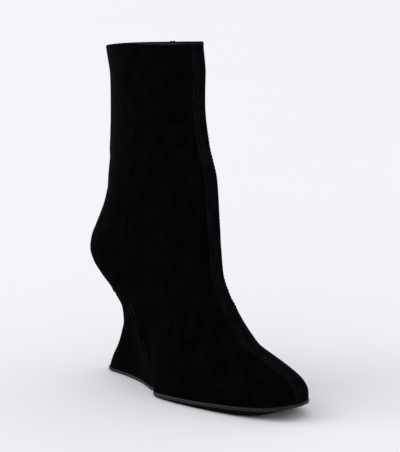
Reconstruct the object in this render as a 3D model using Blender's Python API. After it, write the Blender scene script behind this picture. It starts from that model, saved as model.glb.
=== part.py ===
"""Wedge ankle boot for the right foot: suede upper, covered wedge, thin sole and a side zip.

Lengths are in millimetres until a mesh is made. X runs from the heel to the toe, Y towards
the inner side of the foot (the medial side), and Z up from the floor. Tables hold shares of
the named sizes.
"""
import math

import bmesh
import bpy
import numpy as np
from mathutils import Matrix, Vector

MM = 0.001

# Driving sizes
LENGTH = 238.0            # back of the heel to the tip of the toe
BALL_WIDTH = 80.0         # width that the tables of widths follow
HEEL_HEIGHT = 84.0        # floor to the seat under the heel
INSTEP_HEIGHT = 102.0     # floor to the bend at the front of the ankle
BOOT_HEIGHT = 302.0       # floor to the front of the collar
ANKLE_WIDTH = 62.0        # widest part of the shaft
SHAFT_BACK = 15.0         # how far the back of the shaft stands in from the heel's back
TOE_SWING = 4.3           # how far the toe's middle leans to the medial side
TOE_LENGTH = 26.0         # length over which the toe rounds off in plan
TOE_STEEPNESS = 1.45      # how much a wall's thickness counts lengthwise at the sloping toe
TOE_SPRING = 11.0         # height of the sole's tip over the floor
TIP_INSET = 0.4           # from the sole's tip to where the toe's roundness ends

# Materials' thicknesses and fits
WALL = 2.0                # suede with its lining
GAP = 0.3                 # clearance between pieces that meet
CORE_CLEARANCE = 1.4      # from the wedge's core to the upper's lining
INSOLE_CLEARANCE = 1.1    # from the insole to the upper's lining
BED_CLEARANCE = 0.5       # from the insole to the curved bed under it
SEAM_CLEARANCE = 0.7      # from the wedge's cover to the upper's falling lower edge
SOLE_THICKNESS = 4.0
SOLE_MARGIN = 1.0         # how far the sole's edge stands out past the upper
SOLE_CHAMFER = 0.8
INSOLE_THICKNESS = 2.4
INSOLE_CHAMFER = 0.4

# Wedge
BASE_WIDTH = 27.0         # width of the wedge's foot at its back end
BASE_BACK = 16.0          # from the heel's back to the wedge's foot
WEDGE_INSET = 0.7         # how far the wedge's cover lies inside the upper's lower edge
WEDGE_FLARE_POWER = 2.3
FLARE_START = 0.8         # share of the back end's rounding where the flare starts
FLARE_ROOM = 1.2          # least distance from the back to the seam, in the same share
CORE_END = 0.62           # share of LENGTH where the wedge's core ends inside the upper
SEAM_FOOT = 0.426         # share of LENGTH where the upper's edge reaches the sole
SPRING_START = 0.62       # share of LENGTH where the sole leaves the floor
SPRING_POWER = 1.7

# Raised strip down the front
BAND_SHAFT = 9.2          # from the ridge to the strip's edge, on the shaft
BAND_TOE = 7.2            # the same at the toe
BAND_RISE = 0.7
BAND_SIDE_WEIGHT = 0.8    # how much the side view's length counts in the strip's width

# Collar
COLLAR_RISE_LATERAL = 2.6     # how far the collar's sides stand over its straight line
COLLAR_RISE_MEDIAL = -1.2
COLLAR_RISE_START = 0.75      # share of the girths below which there is no rise

# Zip on the medial side
ZIP_TOP_X = 70.0          # from the heel's back to the zip at the collar
ZIP_FOOT_X = 76.0         # the same at the zip's lower end
ZIP_GROOVE = 6.4
ZIP_DEPTH = 1.0
ZIP_SLOPE = 0.35
ZIP_CHAIN_WIDTH = 4.6
ZIP_CHAIN_THICKNESS = 1.1
ZIP_ABOVE_COLLAR = 2.6
ZIP_FOOT = 104.0          # height of the zip's lower end
ZIP_FOOT_MARGIN = 0.5     # girth rows between the groove's end and the chain's
SLIDER_DROP = 9.0         # from the collar to the middle of the slider
SLIDER_SIZE = (7.4, 9.0, 2.2)
SLIDER_BEVEL = 0.6
LUG_SIZE = (1.2, 2.6)     # each lug across and along the zip
LUG_ROOT = 0.6            # share of the slider's thickness at which the lugs start
LUG_OVER_PIN = 0.5
LUG_BEVEL = 0.25
PIN_RADIUS = 0.6
PULL_SIZE = (3.4, 21.0, 1.2)
PULL_EYE_RADIUS = 1.45
PULL_END_WIDTH = 5.6
PULL_END_SHARE = 0.45     # share of the pull's length that its wide end takes
PULL_END_PLACE = 0.8      # share of the pull's length where the wide end's middle is
PULL_BEVEL = 0.3
PULL_CLEARANCE = 0.35

# Mesh density
GIRTH_COUNT = 32
ZIP_COLUMN = 9            # first of the four columns that follow the zip's groove
SIDE_COLUMNS = 23
BAND_COLUMNS = (1.0, 0.93, 0.60, 0.30)    # shares of the strip's half width
DENSER_ENDS = 0.45        # how much closer columns lie at the heel and the strip
PLATE_DENSER_ENDS = 0.75  # the same for the ends of the sole and insole
SOLE_COLUMNS = 44
INSOLE_COLUMNS = 34
ZIP_ROWS = 18
OUTSIDE_SPREAD = (0.0, 0.012, 0.05, 0.11, 0.2, 0.32, 0.46, 0.6, 0.74, 0.87, 1.0)
CORE_COLUMNS = 8
WEDGE_LEVELS = (0.10, 0.19, 0.30, 0.41, 0.51, 0.60, 0.68, 0.75, 0.80)
CORE_LEVELS = (0.90, 0.95, 0.98, 1.0)

# Where the surface goes over from level sections to upright ones: along the boot and at the
# toe in shares of LENGTH, and up the ankle in shares of INSTEP_HEIGHT
FOREFOOT_START = 0.23
FOREFOOT_BLEND = 0.19
TOE_START = 0.60
TOE_BLEND = 0.10
ANKLE_TOP = 1.30
ANKLE_BLEND = 0.90

CREST_SLOPE = 1.9         # how steeply the crest goes on behind the bend, inside the shaft
SWING_START = 0.5         # share of LENGTH where the toe starts to swing inwards
SWING_POWER = 1.5
SHAFT_IN_END = 0.5        # share of the shaft's height over which its back comes in
EDGE_STRETCH = 1.6        # most that the wall may thicken at the lower edge
SHARPEST_FOLD = 0.62      # least cosine of a fold whose inside is moved to keep the wall
PROBE = 0.5               # distance over which a slope is measured

LATERAL = -1
MEDIAL = 1

# One row for each girth, from the lower edge of the upper to its collar. back_x and front_x
# are shares of LENGTH. A height is its share of HEEL_HEIGHT (back) or INSTEP_HEIGHT (front)
# plus its share of what is left up to BOOT_HEIGHT. dip is how much of the lower edge's fall
# the girth's side view still follows, and lag is the power that holds its places back
# towards the heel.
GIRTH_COLUMNS = ("back_x", "back_foot", "back_shaft", "front_x", "front_foot",
                 "front_shaft", "dip", "lag")
GIRTHS = [
    # lower edge, lasted under the heel
    (0.130, 0.881, 0.000, 0.998, 0.000, 0.000, 1.00, 1.60),
    (0.096, 0.986, 0.000, 0.994, 0.225, 0.000, 0.80, 1.52),
    (0.052, 1.000, 0.037, 0.971, 0.302, 0.000, 0.62, 1.44),
    (0.016, 1.000, 0.081, 0.895, 0.395, 0.000, 0.46, 1.34),
    # back of the heel, toe box
    (0.000, 1.000, 0.128, 0.811, 0.480, 0.000, 0.30, 1.28),
    (0.005, 1.000, 0.179, 0.742, 0.560, 0.000, 0.17, 1.18),
    (0.022, 1.000, 0.228, 0.697, 0.690, 0.000, 0.08, 1.10),
    (0.039, 1.000, 0.277, 0.669, 0.830, 0.000, 0.03, 1.05),
    # bend of the ankle
    (0.054, 1.000, 0.349, 0.640, 1.000, 0.000, 0.00, 1.00),
    (0.060, 1.000, 0.459, 0.625, 1.000, 0.118, 0.00, 1.00),
    (0.063, 1.000, 0.569, 0.615, 1.000, 0.250, 0.00, 1.00),
    # shaft
    (0.066, 1.000, 0.679, 0.603, 1.000, 0.425, 0.00, 1.00),
    (0.066, 1.000, 0.771, 0.566, 1.000, 0.570, 0.00, 1.00),
    (0.063, 1.000, 0.862, 0.547, 1.000, 0.745, 0.00, 1.00),
    (0.060, 1.000, 0.945, 0.555, 1.000, 1.000, 0.00, 1.00),
]

# Level sections of the heel, ankle and shaft. foot and shaft give the height as above,
# lateral and medial are shares of half of ANKLE_WIDTH, the rounds are shares of the
# section's length, and the powers run from 0.5 (round end) to 1 (sharp end).
SECTION_COLUMNS = ("foot", "shaft", "lateral", "medial", "back_round", "back_power",
                   "front_round", "front_power")
SECTIONS = [
    (0.360, 0.000, 0.89, 0.85, 0.20, 0.50, 0.30, 0.60),
    (0.857, 0.000, 0.91, 0.89, 0.30, 0.50, 0.60, 0.70),
    (1.000, 0.037, 0.95, 0.94, 0.25, 0.50, 0.74, 0.75),
    (1.000, 0.128, 0.98, 0.97, 0.235, 0.50, 0.74, 0.78),
    (1.000, 0.234, 1.00, 1.00, 0.30, 0.58, 0.70, 0.80),
    (1.000, 0.349, 1.00, 1.00, 0.38, 0.78, 0.62, 0.84),
    (1.000, 0.459, 0.97, 0.97, 0.45, 0.90, 0.55, 0.90),
    (1.000, 0.600, 0.92, 0.92, 0.50, 0.95, 0.50, 0.95),
    (1.000, 0.760, 0.85, 0.85, 0.50, 1.00, 0.50, 1.00),
    (1.000, 1.000, 0.77, 0.77, 0.50, 1.00, 0.50, 1.00),
]

# Upright sections of the forefoot. x is a share of LENGTH, lateral and medial are shares of
# BALL_WIDTH at the sole, round is the share of the section's height that curves over to the
# ridge, and power is the shape of that curve: 0.5 is an ellipse, more is steeper.
FOOT_COLUMNS = ("x", "lateral", "medial", "round", "power")
FOOT = [
    (0.250, 0.325, 0.290, 0.98, 1.60),
    (0.340, 0.355, 0.275, 0.98, 1.90),
    (0.416, 0.395, 0.285, 0.98, 2.10),
    (0.454, 0.462, 0.320, 0.98, 2.10),
    (0.500, 0.503, 0.362, 0.98, 1.80),
    (0.550, 0.504, 0.402, 0.98, 1.45),
    (0.601, 0.493, 0.435, 0.98, 1.15),
    (0.651, 0.479, 0.458, 0.97, 0.90),
    (0.702, 0.462, 0.462, 0.95, 0.72),
    (0.752, 0.440, 0.442, 0.92, 0.62),
    (0.800, 0.412, 0.410, 0.90, 0.57),
    (0.850, 0.370, 0.372, 0.87, 0.53),
    (0.900, 0.324, 0.328, 0.85, 0.51),
    (0.940, 0.298, 0.302, 0.83, 0.50),
    (1.000, 0.288, 0.290, 0.80, 0.50),
]

# Lower edge of the upper over the wedge: x is a share of LENGTH, height of HEEL_HEIGHT
SEAM_COLUMNS = ("x", "height")
SEAM = [
    (0.100, 0.881), (0.130, 0.881), (0.218, 0.881), (0.236, 0.868), (0.258, 0.838),
    (0.274, 0.798), (0.289, 0.745), (0.305, 0.680), (0.320, 0.606), (0.347, 0.452),
    (0.366, 0.352), (0.392, 0.218), (0.410, 0.128), (0.424, 0.058), (0.436, 0.000),
]

# Surface under the insole: x is a share of LENGTH, height of HEEL_HEIGHT
BED_COLUMNS = ("x", "height")
BED = [
    (0.000, 1.000), (0.190, 1.000), (0.235, 0.975), (0.285, 0.900), (0.345, 0.775),
    (0.415, 0.580), (0.480, 0.385), (0.545, 0.220), (0.605, 0.110), (0.650, 0.052),
    (0.690, 0.000),
]

# Back of the wedge: height is a share of HEEL_HEIGHT, back is measured in shares of LENGTH
# from the heel's back, and half is the half width of the wedge's back end as a share of
# BASE_WIDTH.
WEDGE_COLUMNS = ("height", "back", "half", "round")
WEDGE = [
    (0.000, 0.067, 0.50, 0.055),
    (0.164, 0.087, 0.50, 0.055),
    (0.314, 0.113, 0.50, 0.055),
    (0.461, 0.137, 0.51, 0.058),
    (0.599, 0.153, 0.54, 0.062),
    (0.733, 0.151, 0.62, 0.070),
    (0.881, 0.130, 0.82, 0.088),
]

class Curve:
    """A smooth curve through table rows that never overshoots between two of them."""

    def __init__(self, xs, ys):
        self.x = np.array(xs, float)
        self.y = np.array(ys, float)
        width = np.diff(self.x)
        slope = np.diff(self.y) / width
        self.m = np.zeros(len(self.x))
        self.m[0] = slope[0]
        self.m[-1] = slope[-1]
        for i in range(1, len(self.x) - 1):
            before = slope[i - 1]
            after = slope[i]
            if before * after > 0:
                a = 2 * width[i] + width[i - 1]
                b = width[i] + 2 * width[i - 1]
                self.m[i] = (a + b) / (a / before + b / after)

    def __call__(self, value):
        x = np.clip(value, self.x[0], self.x[-1])
        i = np.clip(np.searchsorted(self.x, x, side="right") - 1, 0, len(self.x) - 2)
        h = self.x[i + 1] - self.x[i]
        t = (x - self.x[i]) / h
        rise = t * t * (3 - 2 * t)
        return (self.y[i] * (1 - rise) + self.y[i + 1] * rise
                + h * t * (1 - t) * ((1 - t) * self.m[i] - t * self.m[i + 1]))


def column(table, names, name):
    return np.array([row[names.index(name)] for row in table])


def smooth(value):
    x = np.clip(value, 0.0, 1.0)
    return x * x * (3 - 2 * x)


def rounded(value, power):
    """0 at an end, 1 from one rounding length on."""
    x = np.clip(value, 0.0, 1.0)
    return (1 - (1 - x) ** 2) ** power


def sole_bottom(x):
    share = np.clip((x / LENGTH - SPRING_START) / (1 - SPRING_START), 0.0, 1.0)
    return TOE_SPRING * share ** SPRING_POWER


def sole_top(x):
    return sole_bottom(x) + SOLE_THICKNESS


seam_curve = Curve(column(SEAM, SEAM_COLUMNS, "x") * LENGTH,
                   column(SEAM, SEAM_COLUMNS, "height") * HEEL_HEIGHT)
bed_curve = Curve(column(BED, BED_COLUMNS, "x") * LENGTH,
                  column(BED, BED_COLUMNS, "height") * HEEL_HEIGHT)


def lower_edge(x):
    return np.maximum(seam_curve(x), sole_top(x) + GAP)


def bed(x):
    """Height of what the insole lies on."""
    return np.maximum(bed_curve(x), sole_top(x))


def girth_lines():
    """Curves of the back and front ends of the girths, by row and by height."""
    take = lambda name: column(GIRTHS, GIRTH_COLUMNS, name)
    back_z = (take("back_foot") * HEEL_HEIGHT
              + take("back_shaft") * (BOOT_HEIGHT - HEEL_HEIGHT))
    front_z = (take("front_foot") * INSTEP_HEIGHT
               + take("front_shaft") * (BOOT_HEIGHT - INSTEP_HEIGHT))
    front_z[0] = lower_edge(take("front_x")[0] * LENGTH)
    shaft_in = SHAFT_BACK - take("back_x")[-2] * LENGTH
    back_x = take("back_x") * LENGTH + shaft_in * smooth(take("back_shaft") / SHAFT_IN_END)
    front_x = take("front_x") * LENGTH
    row = np.arange(len(GIRTHS))
    return (Curve(row, back_z), Curve(row, front_z), Curve(back_z, back_x),
            Curve(front_z, front_x), Curve(row, take("dip")), Curve(row, take("lag")))


(back_z_of_row, front_z_of_row, back_line, front_line, dip_of_row,
 lag_of_row) = girth_lines()

bend_row = list(column(GIRTHS, GIRTH_COLUMNS, "front_foot")).index(1.0)
bend_x = front_line.y[bend_row]
bend_z = front_line.x[bend_row]
crest_curve = Curve(front_line.y[bend_row::-1], front_line.x[bend_row::-1])


def crest(x):
    """Height of the ridge over the forefoot."""
    return crest_curve(x) + CREST_SLOPE * np.maximum(bend_x - x, 0.0)


def section_curves():
    take = lambda name: column(SECTIONS, SECTION_COLUMNS, name)
    z = take("foot") * HEEL_HEIGHT + take("shaft") * (BOOT_HEIGHT - HEEL_HEIGHT)
    curves = {}
    for name in SECTION_COLUMNS[2:]:
        curves[name] = Curve(z, take(name))
    return curves


def foot_curves():
    x = column(FOOT, FOOT_COLUMNS, "x") * LENGTH
    curves = {}
    for name in FOOT_COLUMNS[1:]:
        curves[name] = Curve(x, column(FOOT, FOOT_COLUMNS, name))
    return curves


section = section_curves()
foot = foot_curves()


def side_name(side):
    return "lateral" if side == LATERAL else "medial"


def centre(x):
    """Middle line of the boot in plan: straight, then swinging inwards at the toe."""
    share = (x / LENGTH - SWING_START) / (1 - SWING_START)
    return TOE_SWING * np.clip(share, 0.0, 1.0) ** SWING_POWER


def foot_half(x, side):
    """Half width of the forefoot at the sole, from the middle line."""
    toe = rounded((LENGTH - TIP_INSET - x) / TOE_LENGTH, 0.5)
    return foot[side_name(side)](x) * BALL_WIDTH * toe


def level_half(x, z, side):
    back = back_line(z)
    length = front_line(z) - back
    half = section[side_name(side)](z) * ANKLE_WIDTH / 2
    at_back = rounded((x - back) / (section["back_round"](z) * length),
                      section["back_power"](z))
    at_front = rounded((back + length - x) / (section["front_round"](z) * length),
                       section["front_power"](z))
    return half * at_back * at_front


def upright_half(x, z, side):
    top = crest(x)
    reach = foot["round"](x) * np.maximum(top - sole_top(x) - GAP, WALL)
    return foot_half(x, side) * rounded((top - z) / reach, foot["power"](x))


def outer_half(x, z, side):
    """Half width of the boot's outer surface at one place of its side view."""
    ahead = smooth((x / LENGTH - FOREFOOT_START) / FOREFOOT_BLEND)
    low = smooth((ANKLE_TOP - z / INSTEP_HEIGHT) / ANKLE_BLEND)
    toe = smooth((x / LENGTH - TOE_START) / TOE_BLEND)
    share = ahead * np.maximum(low, toe)
    return level_half(x, z, side) * (1 - share) + upright_half(x, z, side) * share


def inner_half(x, z, side, depth):
    """Half width of a surface that lies a depth inside the outer one."""
    here = outer_half(x, z, side)
    ahead = outer_half(x + PROBE, z, side)
    behind = outer_half(x - PROBE, z, side)
    above = outer_half(x, z + PROBE, side)
    below = outer_half(x, z - PROBE, side)
    along = (ahead - behind) / (2 * PROBE)
    up = (above - below) / (2 * PROBE)
    return here - depth * np.sqrt(1 + along ** 2 + up ** 2)


def nested_half(x, z, side, depth):
    """Half width inside the upper that also keeps its distance round the heel and toe."""
    back = back_line(z)
    back_round = section["back_round"](z) * (front_line(z) - back)
    lean = (back_line(z + PROBE) - back_line(z - PROBE)) / (2 * PROBE)
    inward = depth * math.sqrt(1 + lean ** 2)
    heel_middle = back + back_round
    toe_middle = LENGTH - TOE_LENGTH
    if x < heel_middle:
        moved = heel_middle + (x - heel_middle) * back_round / (back_round - inward)
        middle = heel_middle
    elif x > toe_middle:
        inward = depth * TOE_STEEPNESS
        moved = toe_middle + (x - toe_middle) * TOE_LENGTH / (TOE_LENGTH - inward)
        middle = toe_middle
    else:
        return inner_half(x, z, side, depth)
    share = inner_half(middle, z, side, depth) / outer_half(middle, z, side)
    return min(outer_half(moved, z, side) * share, inner_half(x, z, side, depth))


def girth_point(row, share, side):
    """A point of the side view on one girth, with the collar's rise near the top."""
    back_z = back_z_of_row(row)
    front_z = front_z_of_row(row)
    back_x = back_line(back_z)
    front_x = front_line(front_z)
    along = share ** lag_of_row(row)
    first = share ** lag_of_row(0)
    x = back_x + (front_x - back_x) * along
    first_x = back_line.y[0] + (front_line.y[0] - back_line.y[0]) * first
    first_z = back_z_of_row(0) + (front_z_of_row(0) - back_z_of_row(0)) * first
    dip = (lower_edge(first_x) - first_z) * dip_of_row(row)
    rise = COLLAR_RISE_LATERAL if side == LATERAL else COLLAR_RISE_MEDIAL
    up = row / (len(GIRTHS) - 1)
    top = smooth((up - COLLAR_RISE_START) / (1 - COLLAR_RISE_START))
    z = back_z + (front_z - back_z) * along + dip + rise * top * np.sin(np.pi * share)
    return x, z


def surface_point(row, share, side):
    x, z = girth_point(row, share, side)
    return np.array([x, centre(x) + side * outer_half(x, z, side), z])


def band_width(row):
    """Half width of the front strip on one girth."""
    return BAND_TOE + (BAND_SHAFT - BAND_TOE) * smooth(row / bend_row)


def share_at_band(row, part_of_band, side):
    """Where a girth comes within a part of the front strip's half width of the ridge."""
    target = part_of_band * band_width(row)
    ridge_x, ridge_z = girth_point(row, 1.0, side)
    low = 0.6
    high = 1.0
    for _ in range(40):
        middle = (low + high) / 2
        x, z = girth_point(row, middle, side)
        beside = BAND_SIDE_WEIGHT * math.hypot(x - ridge_x, z - ridge_z)
        away = math.hypot(outer_half(x, z, side), beside)
        if away > target:
            low = middle
        else:
            high = middle
    return (low + high) / 2


def spread(count):
    """Shares from 0 towards 1, closer together near both ends."""
    even = np.arange(count) / count
    return (1 - DENSER_ENDS) * even + DENSER_ENDS * (1 - np.cos(np.pi * even)) / 2


def zip_x(z):
    """The zip's straight course in the side view."""
    return ZIP_FOOT_X + (ZIP_TOP_X - ZIP_FOOT_X) * (z - ZIP_FOOT) / (BOOT_HEIGHT - ZIP_FOOT)


def zip_share(row):
    """Where a girth crosses the zip's middle line."""
    low = 0.2
    high = 0.8
    for _ in range(40):
        middle = (low + high) / 2
        x, z = girth_point(row, middle, MEDIAL)
        if x < zip_x(z):
            low = middle
        else:
            high = middle
    return (low + high) / 2


def has_zip(row):
    return girth_point(row, zip_share(row), MEDIAL)[1] > ZIP_FOOT


def zip_shares(row):
    """Shares of the zip groove's two edges on one girth."""
    x0, z0 = girth_point(row, 0.0, MEDIAL)
    x1, z1 = girth_point(row, 1.0, MEDIAL)
    length = math.hypot(x1 - x0, z1 - z0)
    half = ZIP_GROOVE / 2 / length
    slope = ZIP_SLOPE / length
    middle = zip_share(row)
    return [middle - half - slope, middle - half, middle + half, middle + half + slope]


def side_shares(row, side):
    """Shares of one side's columns, from just past the back seam to the front strip."""
    edge = share_at_band(row, 1.0, side)
    shares = list(spread(SIDE_COLUMNS)[1:] * edge)
    if side == MEDIAL:
        groove = zip_shares(row)
        before = spread(ZIP_COLUMN)[1:] * groove[0]
        after = groove[3] + (edge - groove[3]) * spread(SIDE_COLUMNS - ZIP_COLUMN - 3)[1:]
        shares = list(before) + groove + list(after)
    for part_of_band in BAND_COLUMNS:
        shares.append(share_at_band(row, part_of_band, side))
    return shares


def upper_grid():
    """Points of the upper's smooth outer surface: a closed ring for each girth."""
    rows = np.linspace(0, len(GIRTHS) - 1, GIRTH_COUNT)
    rings = []
    for row in rows:
        ring = [surface_point(row, 0.0, LATERAL)]
        lateral = side_shares(row, LATERAL)
        ring += [surface_point(row, share, LATERAL) for share in lateral]
        ring.append(surface_point(row, 1.0, LATERAL))
        medial = side_shares(row, MEDIAL)
        ring += [surface_point(row, share, MEDIAL) for share in reversed(medial)]
        rings.append(ring)
    return rows, np.array(rings)


def grid_normals(grid):
    """Outward normals of a stack of closed rings."""
    around = np.roll(grid, -1, axis=1) - np.roll(grid, 1, axis=1)
    up = np.gradient(grid, axis=0)
    normal = np.cross(around, up)
    return normal / np.linalg.norm(normal, axis=2, keepdims=True)


def mitre(grid, normal):
    """How much further a corner's point moves to keep the wall's thickness beside it."""
    beside = np.roll(grid, -1, axis=1) - grid
    up = np.gradient(grid, axis=0)
    face = np.cross(beside, up)
    face /= np.linalg.norm(face, axis=2, keepdims=True)
    turn = np.einsum("ijk,ijk->ij", face, normal)
    return 1 / np.clip(turn, SHARPEST_FOLD, 1.0)


def stepped(grid, rows, normal):
    """The outer surface with the front strip raised and the zip's groove sunk."""
    out = grid.copy()
    columns = grid.shape[1]
    side = SIDE_COLUMNS - 1 + len(BAND_COLUMNS)
    ridge = side + 1
    inside = len(BAND_COLUMNS) - 1
    for j in range(ridge - inside, ridge + inside + 1):
        out[:, j] += normal[:, j] * BAND_RISE
    groove = columns - ZIP_COLUMN - 1
    for i, row in enumerate(rows):
        if has_zip(row):
            for j in (groove - 1, groove):
                out[i, j] -= normal[i, j] * ZIP_DEPTH
    return out


def new_mesh_object(name, points, faces):
    mesh = bpy.data.meshes.new(name)
    mesh.from_pydata([tuple(p * MM) for p in points], [], faces)
    mesh.update()
    bm = bmesh.new()
    bm.from_mesh(mesh)
    bmesh.ops.recalc_face_normals(bm, faces=bm.faces)
    bm.to_mesh(mesh)
    bm.free()
    obj = bpy.data.objects.new(name, mesh)
    parts.objects.link(obj)
    return obj


def ring_faces(lower, upper_ring, count):
    """Quads between two rings whose first points are at the given indices."""
    faces = []
    for j in range(count):
        k = (j + 1) % count
        faces.append((lower + j, lower + k, upper_ring + k, upper_ring + j))
    return faces


def make_upper():
    rows, grid = upper_grid()
    normal = grid_normals(grid)
    outer = stepped(grid, rows, normal)
    inner = grid - normal * (WALL * mitre(grid, normal))[:, :, None]
    level = normal[0].copy()
    level[:, 2] = 0
    flat = np.linalg.norm(level, axis=1, keepdims=True)
    inner[0] = grid[0] - level / flat * np.minimum(WALL / flat, EDGE_STRETCH * WALL)
    inner[-1, :, 2] = outer[-1, :, 2]
    count = grid.shape[1]
    stack = list(outer) + list(inner[::-1])
    faces = []
    for i in range(len(stack)):
        following = (i + 1) % len(stack)
        faces += ring_faces(i * count, following * count, count)
    return new_mesh_object("upper", np.concatenate(stack), faces)


def seam_x(z):
    """Where the falling part of the upper's lower edge is at a height."""
    xs = np.linspace(0.2 * LENGTH, SEAM_FOOT * LENGTH, 200)
    return np.interp(-z, -seam_curve(xs), xs)


def bed_x(z):
    xs = np.linspace(0.19 * LENGTH, 0.69 * LENGTH, 300)
    return np.interp(-z, -bed(xs), xs)


wedge_z = column(WEDGE, WEDGE_COLUMNS, "height") * HEEL_HEIGHT
wedge_back = Curve(wedge_z, column(WEDGE, WEDGE_COLUMNS, "back") * LENGTH
                   + BASE_BACK - WEDGE[0][1] * LENGTH)
wedge_end_half = Curve(wedge_z, column(WEDGE, WEDGE_COLUMNS, "half") * BASE_WIDTH)
wedge_round = Curve(wedge_z, column(WEDGE, WEDGE_COLUMNS, "round") * LENGTH)


def wedge_half(x, z, side):
    """Half width of the wedge's covered outside, behind the upper's lower edge."""
    back = wedge_back(z)
    end = wedge_end_half(z)
    front = max(seam_x(z), back + FLARE_ROOM * wedge_round(z))
    at_seam = outer_half(front, max(z, lower_edge(front)), side) - WEDGE_INSET
    start = back + FLARE_START * wedge_round(z)
    flare = np.clip((x - start) / (front - start), 0.0, 1.0) ** WEDGE_FLARE_POWER
    return end * rounded((x - back) / wedge_round(z), 0.5) + (at_seam - end) * flare


def first_inside(z, depth):
    """Where a surface inside the boot begins at the back of the heel, at a height."""
    xs = back_line(z) + np.linspace(0.2, 20, 200)
    for x in xs:
        halves = [nested_half(x, z, side, depth) for side in (LATERAL, MEDIAL)]
        if min(halves) > 1.5:
            return x
    return xs[-1]


def wedge_ring(z, outside):
    """One level outline of the wedge: its covered part, then its core in the upper."""
    depth = WALL + CORE_CLEARANCE
    front = min(bed_x(z), CORE_END * LENGTH)
    halves = {}
    step = seam_x(z + SEAM_CLEARANCE) - SEAM_CLEARANCE
    for side in (LATERAL, MEDIAL):
        if outside:
            back = wedge_back(z)
            xs = back + (step - back) * np.array(OUTSIDE_SPREAD)
            ys = [wedge_half(x, z, side) for x in xs]
        else:
            back = first_inside(z, depth)
            xs = back + (step - back) * np.array(OUTSIDE_SPREAD)
            ys = [nested_half(x, z, side, depth) for x in xs]
        inside_xs = np.linspace(step + 0.02, front, CORE_COLUMNS)
        inside_ys = [inner_half(x, z, side, depth) for x in inside_xs]
        halves[side] = (list(xs) + list(inside_xs), list(ys) + inside_ys)
    xs, lateral = halves[LATERAL]
    _, medial = halves[MEDIAL]
    ring = [(x, centre(x) - y, z) for x, y in zip(xs, lateral)]
    ring += [(x, centre(x) + y, z) for x, y in zip(reversed(xs), reversed(medial))]
    return ring


def level_cap(start, count):
    """Quads straight across a level outline whose two sides mirror each other's places."""
    faces = []
    for j in range(count // 2 - 1):
        faces.append((start + j, start + j + 1, start + count - 2 - j, start + count - 1 - j))
    return faces


def make_wedge():
    bottom = SOLE_THICKNESS + GAP
    shelf = lower_edge(back_line.y[0]) - GAP
    levels = [(bottom, True)]
    levels += [(share * HEEL_HEIGHT, True) for share in WEDGE_LEVELS]
    levels += [(shelf, True), (shelf + 0.02, False)]
    levels += [(share * HEEL_HEIGHT, False) for share in CORE_LEVELS]
    rings = [wedge_ring(z, outside) for z, outside in levels]
    count = len(rings[0])
    faces = []
    for i in range(len(rings) - 1):
        faces += ring_faces(i * count, (i + 1) * count, count)
    faces += level_cap(0, count)
    faces += level_cap((len(rings) - 1) * count, count)
    return new_mesh_object("wedge", np.concatenate(np.array(rings)), faces)


def sole_half(x, side):
    """Half width of the sole's outline."""
    rear = rounded((x - BASE_BACK) / (WEDGE[0][3] * LENGTH), 0.5) * BASE_WIDTH / 2
    joint = SEAM_FOOT * LENGTH
    if x >= joint:
        return foot_half(x, side) + SOLE_MARGIN
    start = BASE_BACK + FLARE_START * WEDGE[0][3] * LENGTH
    flare = np.clip((x - start) / (joint - start), 0.0, 1.0) ** WEDGE_FLARE_POWER
    return rear + (foot_half(joint, side) + SOLE_MARGIN - BASE_WIDTH / 2) * flare


def plate(name, ends, half, bottom, thickness, chamfer, count):
    """A sheet with a rounded plan that follows a curved surface lengthwise."""
    first, last = ends
    even = np.linspace(0, 1, count)
    dense = (1 - np.cos(np.pi * even)) / 2
    share = (1 - PLATE_DENSER_ENDS) * even + PLATE_DENSER_ENDS * dense
    xs = first + (last - first) * share
    lateral = [(x, centre(x) - half(x, LATERAL)) for x in xs]
    medial = [(x, centre(x) + half(x, MEDIAL)) for x in xs]
    plan = np.array(lateral + medial[::-1])
    along = np.roll(plan, -1, axis=0) - np.roll(plan, 1, axis=0)
    along /= np.linalg.norm(along, axis=1, keepdims=True)
    inward = np.stack([-along[:, 1], along[:, 0]], 1)
    steps = [(chamfer, 0.0), (0.0, chamfer), (0.0, thickness - chamfer / 2),
             (chamfer / 2, thickness)]
    points = []
    for inset, height in steps:
        for (x, y), (nx, ny) in zip(plan, inward):
            points.append((x + nx * inset, y + ny * inset, bottom(x) + height))
    size = len(plan)
    faces = []
    for level in range(len(steps) - 1):
        faces += ring_faces(level * size, (level + 1) * size, size)
    faces += level_cap(0, size)
    faces += level_cap((len(steps) - 1) * size, size)
    return new_mesh_object(name, np.array(points), faces)


def make_outsole():
    ends = (BASE_BACK + 0.15, LENGTH)
    half = lambda x, side: max(sole_half(x, side), 1.2)
    return plate("outsole", ends, half, sole_bottom, SOLE_THICKNESS, SOLE_CHAMFER,
                 SOLE_COLUMNS)


def insole_half(x, side):
    depth = WALL + INSOLE_CLEARANCE
    low = insole_bottom(x)
    lowest = nested_half(x, low, side, depth)
    highest = nested_half(x, low + INSOLE_THICKNESS, side, depth)
    return min(lowest, highest)


def insole_bottom(x):
    slope = (bed(x + PROBE) - bed(x - PROBE)) / (2 * PROBE)
    return bed(x) + BED_CLEARANCE * math.sqrt(1 + slope ** 2)


def make_insole():
    def narrowest(x):
        return min(insole_half(x, LATERAL), insole_half(x, MEDIAL))
    xs = np.linspace(0, LENGTH, 600)
    inside = [x for x in xs if narrowest(x) > 2.0]
    ends = (min(inside), max(inside))
    return plate("insole", ends, insole_half, insole_bottom, INSOLE_THICKNESS,
                 INSOLE_CHAMFER, INSOLE_COLUMNS)


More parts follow.
